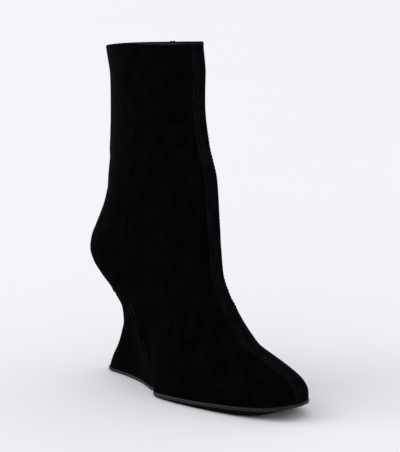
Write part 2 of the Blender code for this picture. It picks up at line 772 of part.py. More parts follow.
def zip_frame(row):
    """Place on the medial surface along the zip, with the directions across, down, out."""
    step = 0.02
    share = zip_share(row)
    here = surface_point(row, share, MEDIAL)
    below = surface_point(row - step, zip_share(row - step), MEDIAL)
    down = (below - here) / np.linalg.norm(below - here)
    along = surface_point(row, share + step, MEDIAL) - surface_point(row, share - step, MEDIAL)
    out = np.cross(along, down)
    out /= np.linalg.norm(out)
    if out[1] < 0:
        out = -out
    return here, np.cross(down, out), down, out


def zip_foot_row():
    row = len(GIRTHS) - 1.0
    while zip_frame(row)[0][2] > ZIP_FOOT:
        row -= 0.05
    return row


def make_zip_chain():
    top = len(GIRTHS) - 1
    rows = np.linspace(top, zip_foot_row() + ZIP_FOOT_MARGIN, ZIP_ROWS)
    frames = [zip_frame(row) for row in rows]
    here, across, down, out = frames[0]
    frames.insert(0, (here - down * ZIP_ABOVE_COLLAR, across, down, out))
    low = GAP - ZIP_DEPTH
    corners = [(-1, low), (1, low), (1, low + ZIP_CHAIN_THICKNESS),
               (-1, low + ZIP_CHAIN_THICKNESS)]
    points = []
    for here, across, down, out in frames:
        for sign, height in corners:
            points.append(here + across * sign * ZIP_CHAIN_WIDTH / 2 + out * height)
    faces = []
    for i in range(len(frames) - 1):
        faces += ring_faces(i * 4, (i + 1) * 4, 4)
    last = (len(frames) - 1) * 4
    faces.append((0, 1, 2, 3))
    faces.append((last, last + 1, last + 2, last + 3))
    return new_mesh_object("zip_chain", np.array(points), faces)


def zip_top_matrix():
    """Axes of the slider: X across the zip, Y up along it, Z out of the boot."""
    top = len(GIRTHS) - 1
    here, across, down, out = zip_frame(top)
    place = here + down * SLIDER_DROP
    row = top
    while zip_frame(row)[0][2] > place[2]:
        row -= 0.01
    here, across, down, out = zip_frame(row)
    matrix = Matrix.Identity(4)
    for i, axis in enumerate((-across, -down, out)):
        for j in range(3):
            matrix[j][i] = axis[j]
    matrix.translation = Vector(here * MM)
    if matrix.to_3x3().determinant() < 0:
        matrix[0][0] *= -1
        matrix[1][0] *= -1
        matrix[2][0] *= -1
    return matrix


def box_part(name, size, centre_point, collection, bevel=0.0):
    bm = bmesh.new()
    bmesh.ops.create_cube(bm, size=1.0)
    bmesh.ops.scale(bm, vec=Vector(size) * MM, verts=bm.verts)
    if bevel:
        bmesh.ops.bevel(bm, geom=list(bm.edges), offset=bevel * MM, segments=2,
                        profile=0.5, affect="EDGES")
    bmesh.ops.translate(bm, vec=Vector(centre_point) * MM, verts=bm.verts)
    return finish_part(name, bm, collection)


def pin_part(name, radius, length, centre_point, collection):
    bm = bmesh.new()
    bmesh.ops.create_cone(bm, cap_ends=True, segments=16, radius1=radius * MM,
                          radius2=radius * MM, depth=length * MM)
    bmesh.ops.rotate(bm, matrix=Matrix.Rotation(math.pi / 2, 3, "Y"), verts=bm.verts)
    bmesh.ops.translate(bm, vec=Vector(centre_point) * MM, verts=bm.verts)
    return finish_part(name, bm, collection)


def finish_part(name, bm, collection):
    mesh = bpy.data.meshes.new(name)
    bm.to_mesh(mesh)
    bm.free()
    obj = bpy.data.objects.new(name, mesh)
    collection.objects.link(obj)
    return obj


def combine(target, other, operation):
    modifier = target.modifiers.new(operation.lower(), "BOOLEAN")
    modifier.operation = operation
    modifier.object = other
    modifier.solver = "EXACT"
    other.hide_render = True
    other.display_type = "WIRE"


def make_slider(matrix):
    """Slider body over the chain, with two lugs that hold the pull's pin."""
    thickness = SLIDER_SIZE[2]
    floor = slider_floor()
    slider = box_part("zip_slider", SLIDER_SIZE, (0, 0, floor + thickness / 2), parts,
                      SLIDER_BEVEL)
    pin_height = slider_pin_height()
    spacing = PULL_SIZE[0] / 2 + PULL_CLEARANCE + LUG_SIZE[0] / 2
    root = floor + LUG_ROOT * thickness
    lug_height = pin_height + PIN_RADIUS + LUG_OVER_PIN - root
    for sign in (-1, 1):
        middle = (sign * spacing, 0, root + lug_height / 2)
        size = (*LUG_SIZE, lug_height)
        lug = box_part("slider_lug", size, middle, cutters, LUG_BEVEL)
        lug.matrix_world = matrix
        combine(slider, lug, "UNION")
    pin = pin_part("slider_pin", PIN_RADIUS, 2 * spacing, (0, 0, pin_height), cutters)
    pin.matrix_world = matrix
    combine(slider, pin, "UNION")
    slider.matrix_world = matrix
    return slider


def slider_floor():
    """Height of the slider's underside over the boot's surface."""
    return GAP - ZIP_DEPTH + ZIP_CHAIN_THICKNESS + GAP


def slider_pin_height():
    return slider_floor() + SLIDER_SIZE[2] + PULL_CLEARANCE + PULL_EYE_RADIUS


def make_pull(matrix):
    """Pull tab: an eye round the slider's pin and a flat tab that hangs from it."""
    width, length, thickness = PULL_SIZE
    axis = matrix @ Matrix.Translation((0, 0, slider_pin_height() * MM))
    eye = pin_part("zip_pull", PULL_EYE_RADIUS, width, (0, 0, 0), parts)
    tab = box_part("pull_tab", PULL_SIZE, (0, -length / 2, 0), cutters, PULL_BEVEL)
    tab.matrix_world = axis
    combine(eye, tab, "UNION")
    end = box_part("pull_end", (PULL_END_WIDTH, PULL_END_SHARE * length, thickness),
                   (0, -PULL_END_PLACE * length, 0), cutters, PULL_BEVEL)
    end.matrix_world = axis
    combine(eye, end, "UNION")
    bore = pin_part("pull_bore", PIN_RADIUS + GAP, width + 2, (0, 0, 0), cutters)
    bore.matrix_world = axis
    combine(eye, bore, "DIFFERENCE")
    eye.matrix_world = axis
    return eye


def paint(obj, colour, roughness, metallic=0.0):
    material = bpy.data.materials.new(obj.name)
    material.use_nodes = True
    shader = material.node_tree.nodes["Principled BSDF"]
    shader.inputs["Base Color"].default_value = (*colour, 1.0)
    shader.inputs["Roughness"].default_value = roughness
    shader.inputs["Metallic"].default_value = metallic
    obj.data.materials.append(material)


def shade(obj, angle):
    obj.data.shade_smooth()
    obj.data.set_sharp_from_angle(angle=math.radians(angle))


def centre_on_origin(objects):
    """Moves all pieces so that the middle of the boot's box stands on the origin."""
    bpy.context.view_layer.update()
    graph = bpy.context.evaluated_depsgraph_get()
    low = Vector((1e9, 1e9, 1e9))
    high = -low
    for obj in objects:
        shape = obj.evaluated_get(graph)
        for vertex in shape.data.vertices:
            point = obj.matrix_world @ vertex.co
            for i in range(3):
                low[i] = min(low[i], point[i])
                high[i] = max(high[i], point[i])
    shift = Matrix.Translation((-(low.x + high.x) / 2, -(low.y + high.y) / 2, -low.z))
    for obj in list(objects) + list(cutters.objects):
        obj.matrix_world = shift @ obj.matrix_world


for old in list(bpy.data.objects):
    bpy.data.objects.remove(old)
parts = bpy.data.collections.new("wedge_ankle_boot")
bpy.context.scene.collection.children.link(parts)
cutters = bpy.data.collections.new("cutters")
bpy.context.scene.collection.children.link(cutters)

SUEDE = (0.012, 0.012, 0.014)
COVER = (0.010, 0.010, 0.012)
SOLE_GREY = (0.035, 0.036, 0.038)
LINING = (0.03, 0.028, 0.026)
TAPE = (0.008, 0.008, 0.009)
METAL = (0.10, 0.10, 0.105)

upper = make_upper()
paint(upper, SUEDE, 0.9)
wedge = make_wedge()
paint(wedge, COVER, 0.85)
outsole = make_outsole()
paint(outsole, SOLE_GREY, 0.6)
insole = make_insole()
paint(insole, LINING, 0.7)
chain = make_zip_chain()
paint(chain, TAPE, 0.6)
slider_axes = zip_top_matrix()
slider = make_slider(slider_axes)
paint(slider, METAL, 0.35, 1.0)
pull = make_pull(slider_axes)
paint(pull, METAL, 0.35, 1.0)
for piece in (upper, wedge, outsole, insole, slider, pull):
    shade(piece, 40)
centre_on_origin((upper, wedge, outsole, insole, chain, slider, pull))
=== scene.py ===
import math

import bmesh
import bpy
import numpy as np
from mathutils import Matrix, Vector


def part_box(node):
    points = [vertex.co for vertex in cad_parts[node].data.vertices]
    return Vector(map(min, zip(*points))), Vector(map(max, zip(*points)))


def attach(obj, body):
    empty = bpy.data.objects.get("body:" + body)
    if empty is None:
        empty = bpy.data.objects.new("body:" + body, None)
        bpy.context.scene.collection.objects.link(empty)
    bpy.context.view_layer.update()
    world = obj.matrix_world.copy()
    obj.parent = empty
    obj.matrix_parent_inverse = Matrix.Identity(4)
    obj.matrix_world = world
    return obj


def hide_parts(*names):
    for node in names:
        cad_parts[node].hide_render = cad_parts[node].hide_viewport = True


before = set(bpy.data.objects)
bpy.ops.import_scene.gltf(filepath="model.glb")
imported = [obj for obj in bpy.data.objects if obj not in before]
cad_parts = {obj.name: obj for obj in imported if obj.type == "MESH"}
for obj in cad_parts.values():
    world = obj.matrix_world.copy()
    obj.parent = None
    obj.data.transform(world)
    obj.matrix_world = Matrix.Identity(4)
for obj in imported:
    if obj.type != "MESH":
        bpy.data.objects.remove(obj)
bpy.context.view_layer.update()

# The dressed right boot: napped suede over the upper and the wedge, a stitched strip down the
# front, a moulded sole, leather lining and sock, and a coil zip on the medial side.
# Lengths are in millimetres until a mesh is made. X runs from the heel's back to the toe, Y to
# the medial side and Z up from the floor; SHIFT brings them into the frame of the solids.

MM = 0.001
SHIFT = np.array([-119.114, 1.103, 0.0])

# Camera: the photograph's perspective, turned a little so that the one boot is in the middle
CAMERA_PLACE = Vector((1.00579, -1.02801, 0.45606))
CAMERA_AIM = Vector((-0.66309, 0.71700, -0.21501))
FOCAL_PIXELS = 1738.7
PICTURE_WIDTH = 400
PICTURE_HEIGHT = 452
BOOT_MIDDLE = (158.0, 219.5)      # the boot's middle in the photograph, in pixels
SENSOR = 36.0

# Sizes of the boot, as in its solids
LENGTH = 238.0
BALL_WIDTH = 80.0
HEEL_HEIGHT = 84.0
INSTEP_HEIGHT = 102.0
BOOT_HEIGHT = 302.0
ANKLE_WIDTH = 62.0
SHAFT_BACK = 15.0
TOE_SWING = 4.3
TOE_LENGTH = 26.0
TOE_STEEPNESS = 1.45
TOE_SPRING = 11.0
TIP_INSET = 0.4
WALL = 2.0
GAP = 0.3
INSOLE_CLEARANCE = 1.1
BED_CLEARANCE = 0.5
SOLE_THICKNESS = 4.0
SOLE_MARGIN = 1.0
INSOLE_THICKNESS = 2.4
BASE_WIDTH = 27.0
BASE_BACK = 16.0
WEDGE_INSET = 0.7
WEDGE_FLARE_POWER = 2.3
FLARE_START = 0.8
FLARE_ROOM = 1.2
SEAM_FOOT = 0.426
SPRING_START = 0.62
SPRING_POWER = 1.7
BAND_SHAFT = 9.2
BAND_TOE = 7.2
BAND_RISE = 0.7
BAND_SIDE_WEIGHT = 0.8
COLLAR_RISE_LATERAL = 2.6
COLLAR_RISE_MEDIAL = -1.2
COLLAR_RISE_START = 0.75
ZIP_TOP_X = 70.0
ZIP_FOOT_X = 76.0
ZIP_FOOT = 104.0
ZIP_GROOVE = 6.4
FOREFOOT_START = 0.23
FOREFOOT_BLEND = 0.19
TOE_START = 0.60
TOE_BLEND = 0.10
ANKLE_TOP = 1.30
ANKLE_BLEND = 0.90
CREST_SLOPE = 1.9
SWING_START = 0.5
SWING_POWER = 1.5
SHAFT_IN_END = 0.5
PROBE = 0.5
LATERAL = -1
MEDIAL = 1

GIRTH_COLUMNS = ("back_x", "back_foot", "back_shaft", "front_x", "front_foot",
                 "front_shaft", "dip", "lag")
GIRTHS = [
    (0.130, 0.881, 0.000, 0.998, 0.000, 0.000, 1.00, 1.60),
    (0.096, 0.986, 0.000, 0.994, 0.225, 0.000, 0.80, 1.52),
    (0.052, 1.000, 0.037, 0.971, 0.302, 0.000, 0.62, 1.44),
    (0.016, 1.000, 0.081, 0.895, 0.395, 0.000, 0.46, 1.34),
    (0.000, 1.000, 0.128, 0.811, 0.480, 0.000, 0.30, 1.28),
    (0.005, 1.000, 0.179, 0.742, 0.560, 0.000, 0.17, 1.18),
    (0.022, 1.000, 0.228, 0.697, 0.690, 0.000, 0.08, 1.10),
    (0.039, 1.000, 0.277, 0.669, 0.830, 0.000, 0.03, 1.05),
    (0.054, 1.000, 0.349, 0.640, 1.000, 0.000, 0.00, 1.00),
    (0.060, 1.000, 0.459, 0.625, 1.000, 0.118, 0.00, 1.00),
    (0.063, 1.000, 0.569, 0.615, 1.000, 0.250, 0.00, 1.00),
    (0.066, 1.000, 0.679, 0.603, 1.000, 0.425, 0.00, 1.00),
    (0.066, 1.000, 0.771, 0.566, 1.000, 0.570, 0.00, 1.00),
    (0.063, 1.000, 0.862, 0.547, 1.000, 0.745, 0.00, 1.00),
    (0.060, 1.000, 0.945, 0.555, 1.000, 1.000, 0.00, 1.00),
]
SECTION_COLUMNS = ("foot", "shaft", "lateral", "medial", "back_round", "back_power",
                   "front_round", "front_power")
SECTIONS = [
    (0.360, 0.000, 0.89, 0.85, 0.20, 0.50, 0.30, 0.60),
    (0.857, 0.000, 0.91, 0.89, 0.30, 0.50, 0.60, 0.70),
    (1.000, 0.037, 0.95, 0.94, 0.25, 0.50, 0.74, 0.75),
    (1.000, 0.128, 0.98, 0.97, 0.235, 0.50, 0.74, 0.78),
    (1.000, 0.234, 1.00, 1.00, 0.30, 0.58, 0.70, 0.80),
    (1.000, 0.349, 1.00, 1.00, 0.38, 0.78, 0.62, 0.84),
    (1.000, 0.459, 0.97, 0.97, 0.45, 0.90, 0.55, 0.90),
    (1.000, 0.600, 0.92, 0.92, 0.50, 0.95, 0.50, 0.95),
    (1.000, 0.760, 0.85, 0.85, 0.50, 1.00, 0.50, 1.00),
    (1.000, 1.000, 0.77, 0.77, 0.50, 1.00, 0.50, 1.00),
]
FOOT_COLUMNS = ("x", "lateral", "medial", "round", "power")
FOOT = [
    (0.250, 0.325, 0.290, 0.98, 1.60),
    (0.340, 0.355, 0.275, 0.98, 1.90),
    (0.416, 0.395, 0.285, 0.98, 2.10),
    (0.454, 0.462, 0.320, 0.98, 2.10),
    (0.500, 0.503, 0.362, 0.98, 1.80),
    (0.550, 0.504, 0.402, 0.98, 1.45),
    (0.601, 0.493, 0.435, 0.98, 1.15),
    (0.651, 0.479, 0.458, 0.97, 0.90),
    (0.702, 0.462, 0.462, 0.95, 0.72),
    (0.752, 0.440, 0.442, 0.92, 0.62),
    (0.800, 0.412, 0.410, 0.90, 0.57),
    (0.850, 0.370, 0.372, 0.87, 0.53),
    (0.900, 0.324, 0.328, 0.85, 0.51),
    (0.940, 0.298, 0.302, 0.83, 0.50),
    (1.000, 0.288, 0.290, 0.80, 0.50),
]
# The seam between the upper and the wedge. Its lower half sits up to 2.9 mm further back than in
# the solids.
SEAM_SPAN = (0.10, 0.45)          # the part of it that carries folds
SEAM = [
    (0.100, 0.881), (0.130, 0.881), (0.218, 0.881), (0.236, 0.868), (0.258, 0.838),
    (0.274, 0.798), (0.288, 0.745), (0.302, 0.680), (0.315, 0.606), (0.338, 0.452),
    (0.355, 0.352), (0.380, 0.218), (0.400, 0.128), (0.417, 0.058), (0.433, 0.000),
]
BED = [
    (0.000, 1.000), (0.190, 1.000), (0.235, 0.975), (0.285, 0.900), (0.345, 0.775),
    (0.415, 0.580), (0.480, 0.385), (0.545, 0.220), (0.605, 0.110), (0.650, 0.052),
    (0.690, 0.000),
]
# The wedge by height. Its back is up to 1.9 mm more hollow than in the solids.
WEDGE_COLUMNS = ("height", "back", "half", "round")
WEDGE = [
    (0.000, 0.067, 0.50, 0.055),
    (0.164, 0.091, 0.50, 0.055),
    (0.314, 0.121, 0.50, 0.055),
    (0.461, 0.140, 0.51, 0.058),
    (0.599, 0.153, 0.54, 0.062),
    (0.733, 0.151, 0.62, 0.070),
    (0.881, 0.130, 0.82, 0.088),
]

# Soft creases in the suede: the two ends in the side view, the half width and the
# depth of each. A positive depth is a trough, with a low swelling beside it.
CREASE_COLUMNS = ("side", "x0", "z0", "x1", "z1", "half", "depth")
CREASES = [
    (LATERAL, 14.0, 196.0, 62.0, 184.0, 4.6, 0.55),
    (LATERAL, 18.0, 168.0, 50.0, 172.0, 5.5, 0.40),
    (LATERAL, 62.0, 216.0, 112.0, 228.0, 7.0, 0.35),
    (LATERAL, 146.0, 116.0, 108.0, 104.0, 5.0, 0.55),
    (LATERAL, 148.0, 132.0, 116.0, 134.0, 5.5, 0.45),
    (LATERAL, 158.0, 92.0, 128.0, 74.0, 4.5, 0.40),
    (LATERAL, 96.0, 148.0, 128.0, 160.0, 7.5, 0.30),
    (MEDIAL, 14.0, 192.0, 52.0, 180.0, 4.8, 0.50),
    (MEDIAL, 16.0, 164.0, 46.0, 166.0, 5.5, 0.40),
    (MEDIAL, 147.0, 114.0, 104.0, 100.0, 5.0, 0.60),
    (MEDIAL, 148.0, 134.0, 112.0, 130.0, 5.5, 0.50),
    (MEDIAL, 160.0, 90.0, 126.0, 70.0, 4.5, 0.45),
    (MEDIAL, 92.0, 214.0, 128.0, 226.0, 7.0, 0.35),
]
CREASE_BOW = 0.06                 # as a share of the crease's length
CREASE_RUN_OUT = (6.0, 0.3, 0.5)  # before its start in mm, then shares of its length
SWELLING = (1.9, 1.2, 0.55)       # beside it: place and half width in its own, and height

# Slackness of the suede, the dent along its back, and steps in reading its surface
SLACK = 0.16                      # height of the suede's slackness
FINE_SLACK = 0.6                  # share of the finer waves in it
SLACK_FROM = (30.0, 50.0)         # a height over the floor, and the run to its full size
RELIEF_FADE = 8.0                 # half width below which creases and slackness fade
BACK_SEAM = (0.9, 0.35)           # half width and depth of the dent along the back
HALVINGS = 40                     # steps in looking for a place along a girth
SHARE_STEP = 0.004                # steps along and up for the surface's direction
ROW_STEP = 0.05
ROW_MARGIN = 0.06

# The waist on the lateral side, each as a place along the boot, a half width and a height: the
# sole's plan steps in before the ball and out at it, and the suede above bridges the hollow
STEP_IN = (97.0, 5.0, 1.9)
STEP_OUT = (108.0, 5.5, 1.5)
STEP_FADE = (6.0, 14.0)           # a height over the floor, and the run over which it fades
BRIDGE = (101.0, 6.5, 1.3)
BRIDGE_FROM = (14.0, 12.0)
BRIDGE_FADE = (50.0, 40.0)

# The front strip across, in shares of its half width
BESIDE_STRIP = 1.06
STRIP_EDGE = 0.08
STRIP_GROOVE = (1.03, 0.05, 0.25)  # place, half width and depth of the groove beside it
ROW_DENT = (0.06, 0.20)           # half width and depth of the dent along each row of stitches

# Sewing
STITCH_PITCH = 3.0
STITCH_LENGTH = 2.3
THREAD = 0.27                     # radius of the sewing thread
BAND_ROWS = (0.87, 0.56)          # rows of stitches, in shares of the strip's half width
ZIP_ROW_AWAY = 2.3                # from the zip's lips to the rows beside it
STRIP_ROWS_FROM = 0.12            # rows of girths between which the strip is sewn, the second
STRIP_ROWS_TO = 0.03              # one below the top
STRIP_THREAD_LIFT = 0.10
ZIP_THREAD_LIFT = 0.04
OFF_STRIP = 2.0                   # a place well off the strip, in shares of its half width

# The zip, from its foot up, from the boot's height down, and in from the suede
ZIP_ROW_FOOT = 3.0                # the sewn row passes the zip's foot by this much
ZIP_ROW_TOP = 9.5
TOOTH_PITCH = 1.3
COIL_FOOT = 3.0
COIL_TOP = 9.0
COIL_DEPTH = 0.45
TAPE_FOOT = 2.0
TAPE_EDGES = (0.35, 2.95)         # the tape's two edges, from the zip's middle
TAPE_DEPTHS = (0.72, 0.98)        # and how deep each lies
TAPE_THICKNESS = 0.28
TAPE_ABOVE_COLLAR = 1.82

# The sole's lip: how far it laps the suede, by share of the length, and its section as insets
# and heights; TREAD_CURVE is how far in the forepart's tread curves down. The black tread under
# the lip is partly a convex sole and partly a dark sheet standing in for the shade there
LIP_RISE = ((0.0, -0.8), (0.39, -0.8), (0.45, 0.6), (0.55, 2.0), (0.64, 2.6), (0.72, 2.8),
            (0.80, 1.8), (0.87, 0.6), (0.93, -0.4), (1.0, -0.4))
LIP = ((0.45, 0.12), (0.12, 0.4), (0.0, 0.85), (0.0, 1.6), (0.08, 2.2), (0.3, 2.7),
       (0.7, 3.05), (1.2, 3.18))
LIP_HEIGHT = 3.2
THIN_LIP = 0.8                    # how much lower the lip is under the wedge
THIN_UNTIL = (0.40, 0.08)         # shares of the length: a start and the run after it
LIP_TOP_INSET = 1.7
SOLE_TOP_INSET = 2.4
UNDER_LIP_INSET = 0.9
TREAD_INSET = 1.6
TREAD_CURVE = 2.4
CURVE_FROM = (0.43, 0.06)
TREAD_LEVELS = (0.0, 0.3, 0.55, 0.75, 0.9, 1.0)
TREAD_BOW = 2.2
BELLY_SHADE_FILL = 0.7                       # share of the toe's spring that the black tread fills in, a dark sheet standing for the shade under the toe
BELLY_SHADE_FILL_FROM = (0.62, 0.12)
BELLY_SHADE_FILL_FADE = (0.84, 0.16)
RIB_PITCH = 5.2
RIB_DEPTH = 0.5
RIB_FADE = (1.0, 1.5)             # from the tread's edge
SLAB_TIP = 1.2                    # half width at which the sole's plan is cut at its two tips
SOCK_TIP = 1.0
SOCK_EDGE = ((0.5, 0.0), (0.05, 0.5), (0.0, 1.6), (0.25, 2.15), (0.8, 2.4))
SOCK_RISE = 0.35
SOCK_RISE_RUN = 9.0

# The collar: it leans back, less where the zip holds it, and its rim is rolled and rubbed. The
# rubbed rim's lighter suede is partly wear and partly a painted highlight
COLLAR_LEAN = 3.8                 # how far the limp collar leans back
LEAN_RISE = 27.0
ZIP_HOLD = 0.85
RIM_BEAD = (1.2, 1.4, 0.22)       # place below the rim, half width and height
RIM_DROP = 0.9
RIM_REACH = 3.0
# depth below the rim of the lighter rubbed suede, partly wear and partly a painted highlight
RUBBED_HIGHLIT_RIM = 2.3
RUBBED_HIGHLIT_FROM = (62.0, 30.0)        # a place along the boot, and the run to its full width

# The upper's edge over the wedge: a thin rolled bead, a groove and the suede's soft lip, as
# distances from the edge, half widths and heights
EDGE_FOLDS = ((0.7, 0.7, 0.35), (2.3, 0.8, -0.75), (4.5, 1.3, 0.55))
HIGHLIT_BEAD_WIDTH = 1.2                  # of the bead that takes the lighter folded suede, a painted highlight
# half width of the suede's lip that takes the same painted highlight
HIGHLIT_LIP_HALF = 0.9
FOLDS_PAST = 4.0                  # how far the folds go past the wedge's foot
FOLDS_FADE = 6.0
HEM_RADIUS = 0.75

# The wedge's cover: how far it goes down behind the sole's lip, and its turned edges as heights
# and tucks, then as distances ahead and in, where it goes under the upper
COVER_BELOW = 0.75
COVER_FOOT = ((0.0, 0.7), (0.12, 0.3), (0.45, 0.05))
COVER_SHELF = ((-0.4, 0.05), (0.0, 0.4))
COVER_PLAIN = (1.2, 1.0)          # from its foot and its shelf to where it runs plain
COVER_UNDER = ((0.3, 0.6), (1.5, 2.2), (6.0, 4.0))
COVER_ABOVE = 0.7                 # the seam's line is read this much higher
COVER_BEHIND = 0.35               # and the cover stays this far behind it
COVER_WAVES = 0.10

# Mesh density of the upper, with the rows at which it changes
UPPER_RINGS = 206
HEM_RINGS = 28
COLLAR_RINGS = 12
HEM_END = 0.7
SHAFT_END = 0.12                  # below the top row
RIM_START = 0.11
SIDE_COLUMNS = 92
BEFORE_ZIP = 38
BAND_COLUMNS = 24
BAND_EDGE_COLUMNS = 8
LINING_STEP = 5                   # rings of the face for each ring of the lining
RIDGE_REACH = 10                  # columns that the ridge's rounding takes in
RIDGE_ROUNDS = 14
GROOVE_AHEAD = 1.0                # the groove starts this far below the zip's foot
GROOVE_RUN_IN = 2.5
GROOVE_OFFSETS = (-4.9, -4.2, -3.75, -3.45, -3.2, -3.0, 3.0, 3.2, 3.45, 3.75, 4.2, 4.9)
GROOVE_LIFTS = (0.0, 0.10, 0.22, 0.05, -0.75, -1.2, -1.2, -0.75, 0.05, 0.22, 0.10, 0.0)

# Density of the other pieces
COVER_LEVELS = 62
COVER_COLUMNS = 46
SOLE_COLUMNS = 210
SOLE_ACROSS = 26
SOCK_COLUMNS = 110
SOCK_ACROSS = 14
THREAD_SIDES = 7

# Inputs and output of a node that mixes two colours
SHARE, DARK, LIGHT = 0, 6, 7
MIXED = 2

# Finishes of the upper's faces, in the order in which its materials are given. The strip, folded
# and rubbed suedes are lighter copies that carry painted highlights
FACE, LINING, STRIP, FOLDED_HIGHLIT, RUBBED_AND_HIGHLIT = range(5)

# Floor and light, in metres and watts
FLOOR_HALF = 12.0
PANEL_PLACE = (-9.5, -8.1, 8.3)
PANEL_AIM = (0.0, 0.0, 0.12)
PANEL_SIDE = 10.8
PANEL_POWER = 745.0
ROOM_LIGHT = 0.93


# ---- The boot's surface, the same curves as its solids

class Curve:
    """A smooth curve through table rows that never overshoots between two of them."""

    def __init__(self, xs, ys):
        self.x = np.array(xs, float)
        self.y = np.array(ys, float)
        width = np.diff(self.x)
        slope = np.diff(self.y) / width
        self.m = np.zeros(len(self.x))
        self.m[0] = slope[0]
        self.m[-1] = slope[-1]
        for i in range(1, len(self.x) - 1):
            before = slope[i - 1]
            after = slope[i]
            if before * after > 0:
                a = 2 * width[i] + width[i - 1]
                b = width[i] + 2 * width[i - 1]
                self.m[i] = (a + b) / (a / before + b / after)

    def __call__(self, value):
        x = np.clip(value, self.x[0], self.x[-1])
        i = np.clip(np.searchsorted(self.x, x, side="right") - 1, 0, len(self.x) - 2)
        h = self.x[i + 1] - self.x[i]
        t = (x - self.x[i]) / h
        rise = t * t * (3 - 2 * t)
        return (self.y[i] * (1 - rise) + self.y[i + 1] * rise
                + h * t * (1 - t) * ((1 - t) * self.m[i] - t * self.m[i + 1]))


def column(table, names, name):
    return np.array([row[names.index(name)] for row in table])


def smooth(value):
    x = np.clip(value, 0.0, 1.0)
    return x * x * (3 - 2 * x)


def rounded(value, power):
    x = np.clip(value, 0.0, 1.0)
    return (1 - (1 - x) ** 2) ** power


def bump(distance, half):
    """1 on a line and 0 well away from it."""
    return np.exp(-(distance / half) ** 2)


def swell(x, place, half, height):
    return height * bump(x - place, half)


def ramp(value, start, run):
    """0 up to a start and 1 from the end of its run."""
    return smooth((value - start) / run)


def sole_bottom(x):
    share = np.clip((x / LENGTH - SPRING_START) / (1 - SPRING_START), 0.0, 1.0)
    return TOE_SPRING * share ** SPRING_POWER


def sole_top(x):
    return sole_bottom(x) + SOLE_THICKNESS


seam_curve = Curve([row[0] * LENGTH for row in SEAM], [row[1] * HEEL_HEIGHT for row in SEAM])
bed_curve = Curve([row[0] * LENGTH for row in BED], [row[1] * HEEL_HEIGHT for row in BED])
lip_rise = Curve([row[0] * LENGTH for row in LIP_RISE], [row[1] for row in LIP_RISE])


def lower_edge(x):
    return np.maximum(seam_curve(x), sole_top(x) + GAP)


def bed(x):
    return np.maximum(bed_curve(x), sole_top(x))


def girth_lines():
    """Curves of the back and front ends of the girths, by row and by height."""
    take = lambda name: column(GIRTHS, GIRTH_COLUMNS, name)
    back_z = (take("back_foot") * HEEL_HEIGHT
              + take("back_shaft") * (BOOT_HEIGHT - HEEL_HEIGHT))
    front_z = (take("front_foot") * INSTEP_HEIGHT
               + take("front_shaft") * (BOOT_HEIGHT - INSTEP_HEIGHT))
    front_z[0] = lower_edge(take("front_x")[0] * LENGTH)
    shaft_in = SHAFT_BACK - take("back_x")[-2] * LENGTH
    back_x = take("back_x") * LENGTH + shaft_in * smooth(take("back_shaft") / SHAFT_IN_END)
    front_x = take("front_x") * LENGTH
    row = np.arange(len(GIRTHS))
    return (Curve(row, back_z), Curve(row, front_z), Curve(back_z, back_x),
            Curve(front_z, front_x), Curve(row, take("dip")), Curve(row, take("lag")))


(back_z_of_row, front_z_of_row, back_line, front_line, dip_of_row,
 lag_of_row) = girth_lines()
bend_row = list(column(GIRTHS, GIRTH_COLUMNS, "front_foot")).index(1.0)
bend_x = front_line.y[bend_row]
crest_curve = Curve(front_line.y[bend_row::-1], front_line.x[bend_row::-1])
TOP_ROW = len(GIRTHS) - 1


def crest(x):
    return crest_curve(x) + CREST_SLOPE * np.maximum(bend_x - x, 0.0)


def named_curves(x, table, names, skip):
    return {name: Curve(x, column(table, names, name)) for name in names[skip:]}


section_z = (column(SECTIONS, SECTION_COLUMNS, "foot") * HEEL_HEIGHT
             + column(SECTIONS, SECTION_COLUMNS, "shaft") * (BOOT_HEIGHT - HEEL_HEIGHT))
section = named_curves(section_z, SECTIONS, SECTION_COLUMNS, 2)
foot = named_curves(column(FOOT, FOOT_COLUMNS, "x") * LENGTH, FOOT, FOOT_COLUMNS, 1)


def side_name(side):
    return "lateral" if side == LATERAL else "medial"


def centre(x):
    share = (x / LENGTH - SWING_START) / (1 - SWING_START)
    return TOE_SWING * np.clip(share, 0.0, 1.0) ** SWING_POWER


def foot_half(x, side):
    toe = rounded((LENGTH - TIP_INSET - x) / TOE_LENGTH, 0.5)
    return foot[side_name(side)](x) * BALL_WIDTH * toe


def level_half(x, z, side):
    back = back_line(z)
    length = front_line(z) - back
    half = section[side_name(side)](z) * ANKLE_WIDTH / 2
    at_back = rounded((x - back) / (section["back_round"](z) * length),
                      section["back_power"](z))
    at_front = rounded((back + length - x) / (section["front_round"](z) * length),
                       section["front_power"](z))
    return half * at_back * at_front


def upright_half(x, z, side):
    top = crest(x)
    reach = foot["round"](x) * np.maximum(top - sole_top(x) - GAP, WALL)
    return foot_half(x, side) * rounded((top - z) / reach, foot["power"](x))


def outer_half(x, z, side):
    ahead = smooth((x / LENGTH - FOREFOOT_START) / FOREFOOT_BLEND)
    low = smooth((ANKLE_TOP - z / INSTEP_HEIGHT) / ANKLE_BLEND)
    toe = smooth((x / LENGTH - TOE_START) / TOE_BLEND)
    share = ahead * np.maximum(low, toe)
    return level_half(x, z, side) * (1 - share) + upright_half(x, z, side) * share


def inner_half(x, z, side, depth):
    here = outer_half(x, z, side)
    along = (outer_half(x + PROBE, z, side) - outer_half(x - PROBE, z, side)) / (2 * PROBE)
    up = (outer_half(x, z + PROBE, side) - outer_half(x, z - PROBE, side)) / (2 * PROBE)
    return here - depth * np.sqrt(1 + along ** 2 + up ** 2)


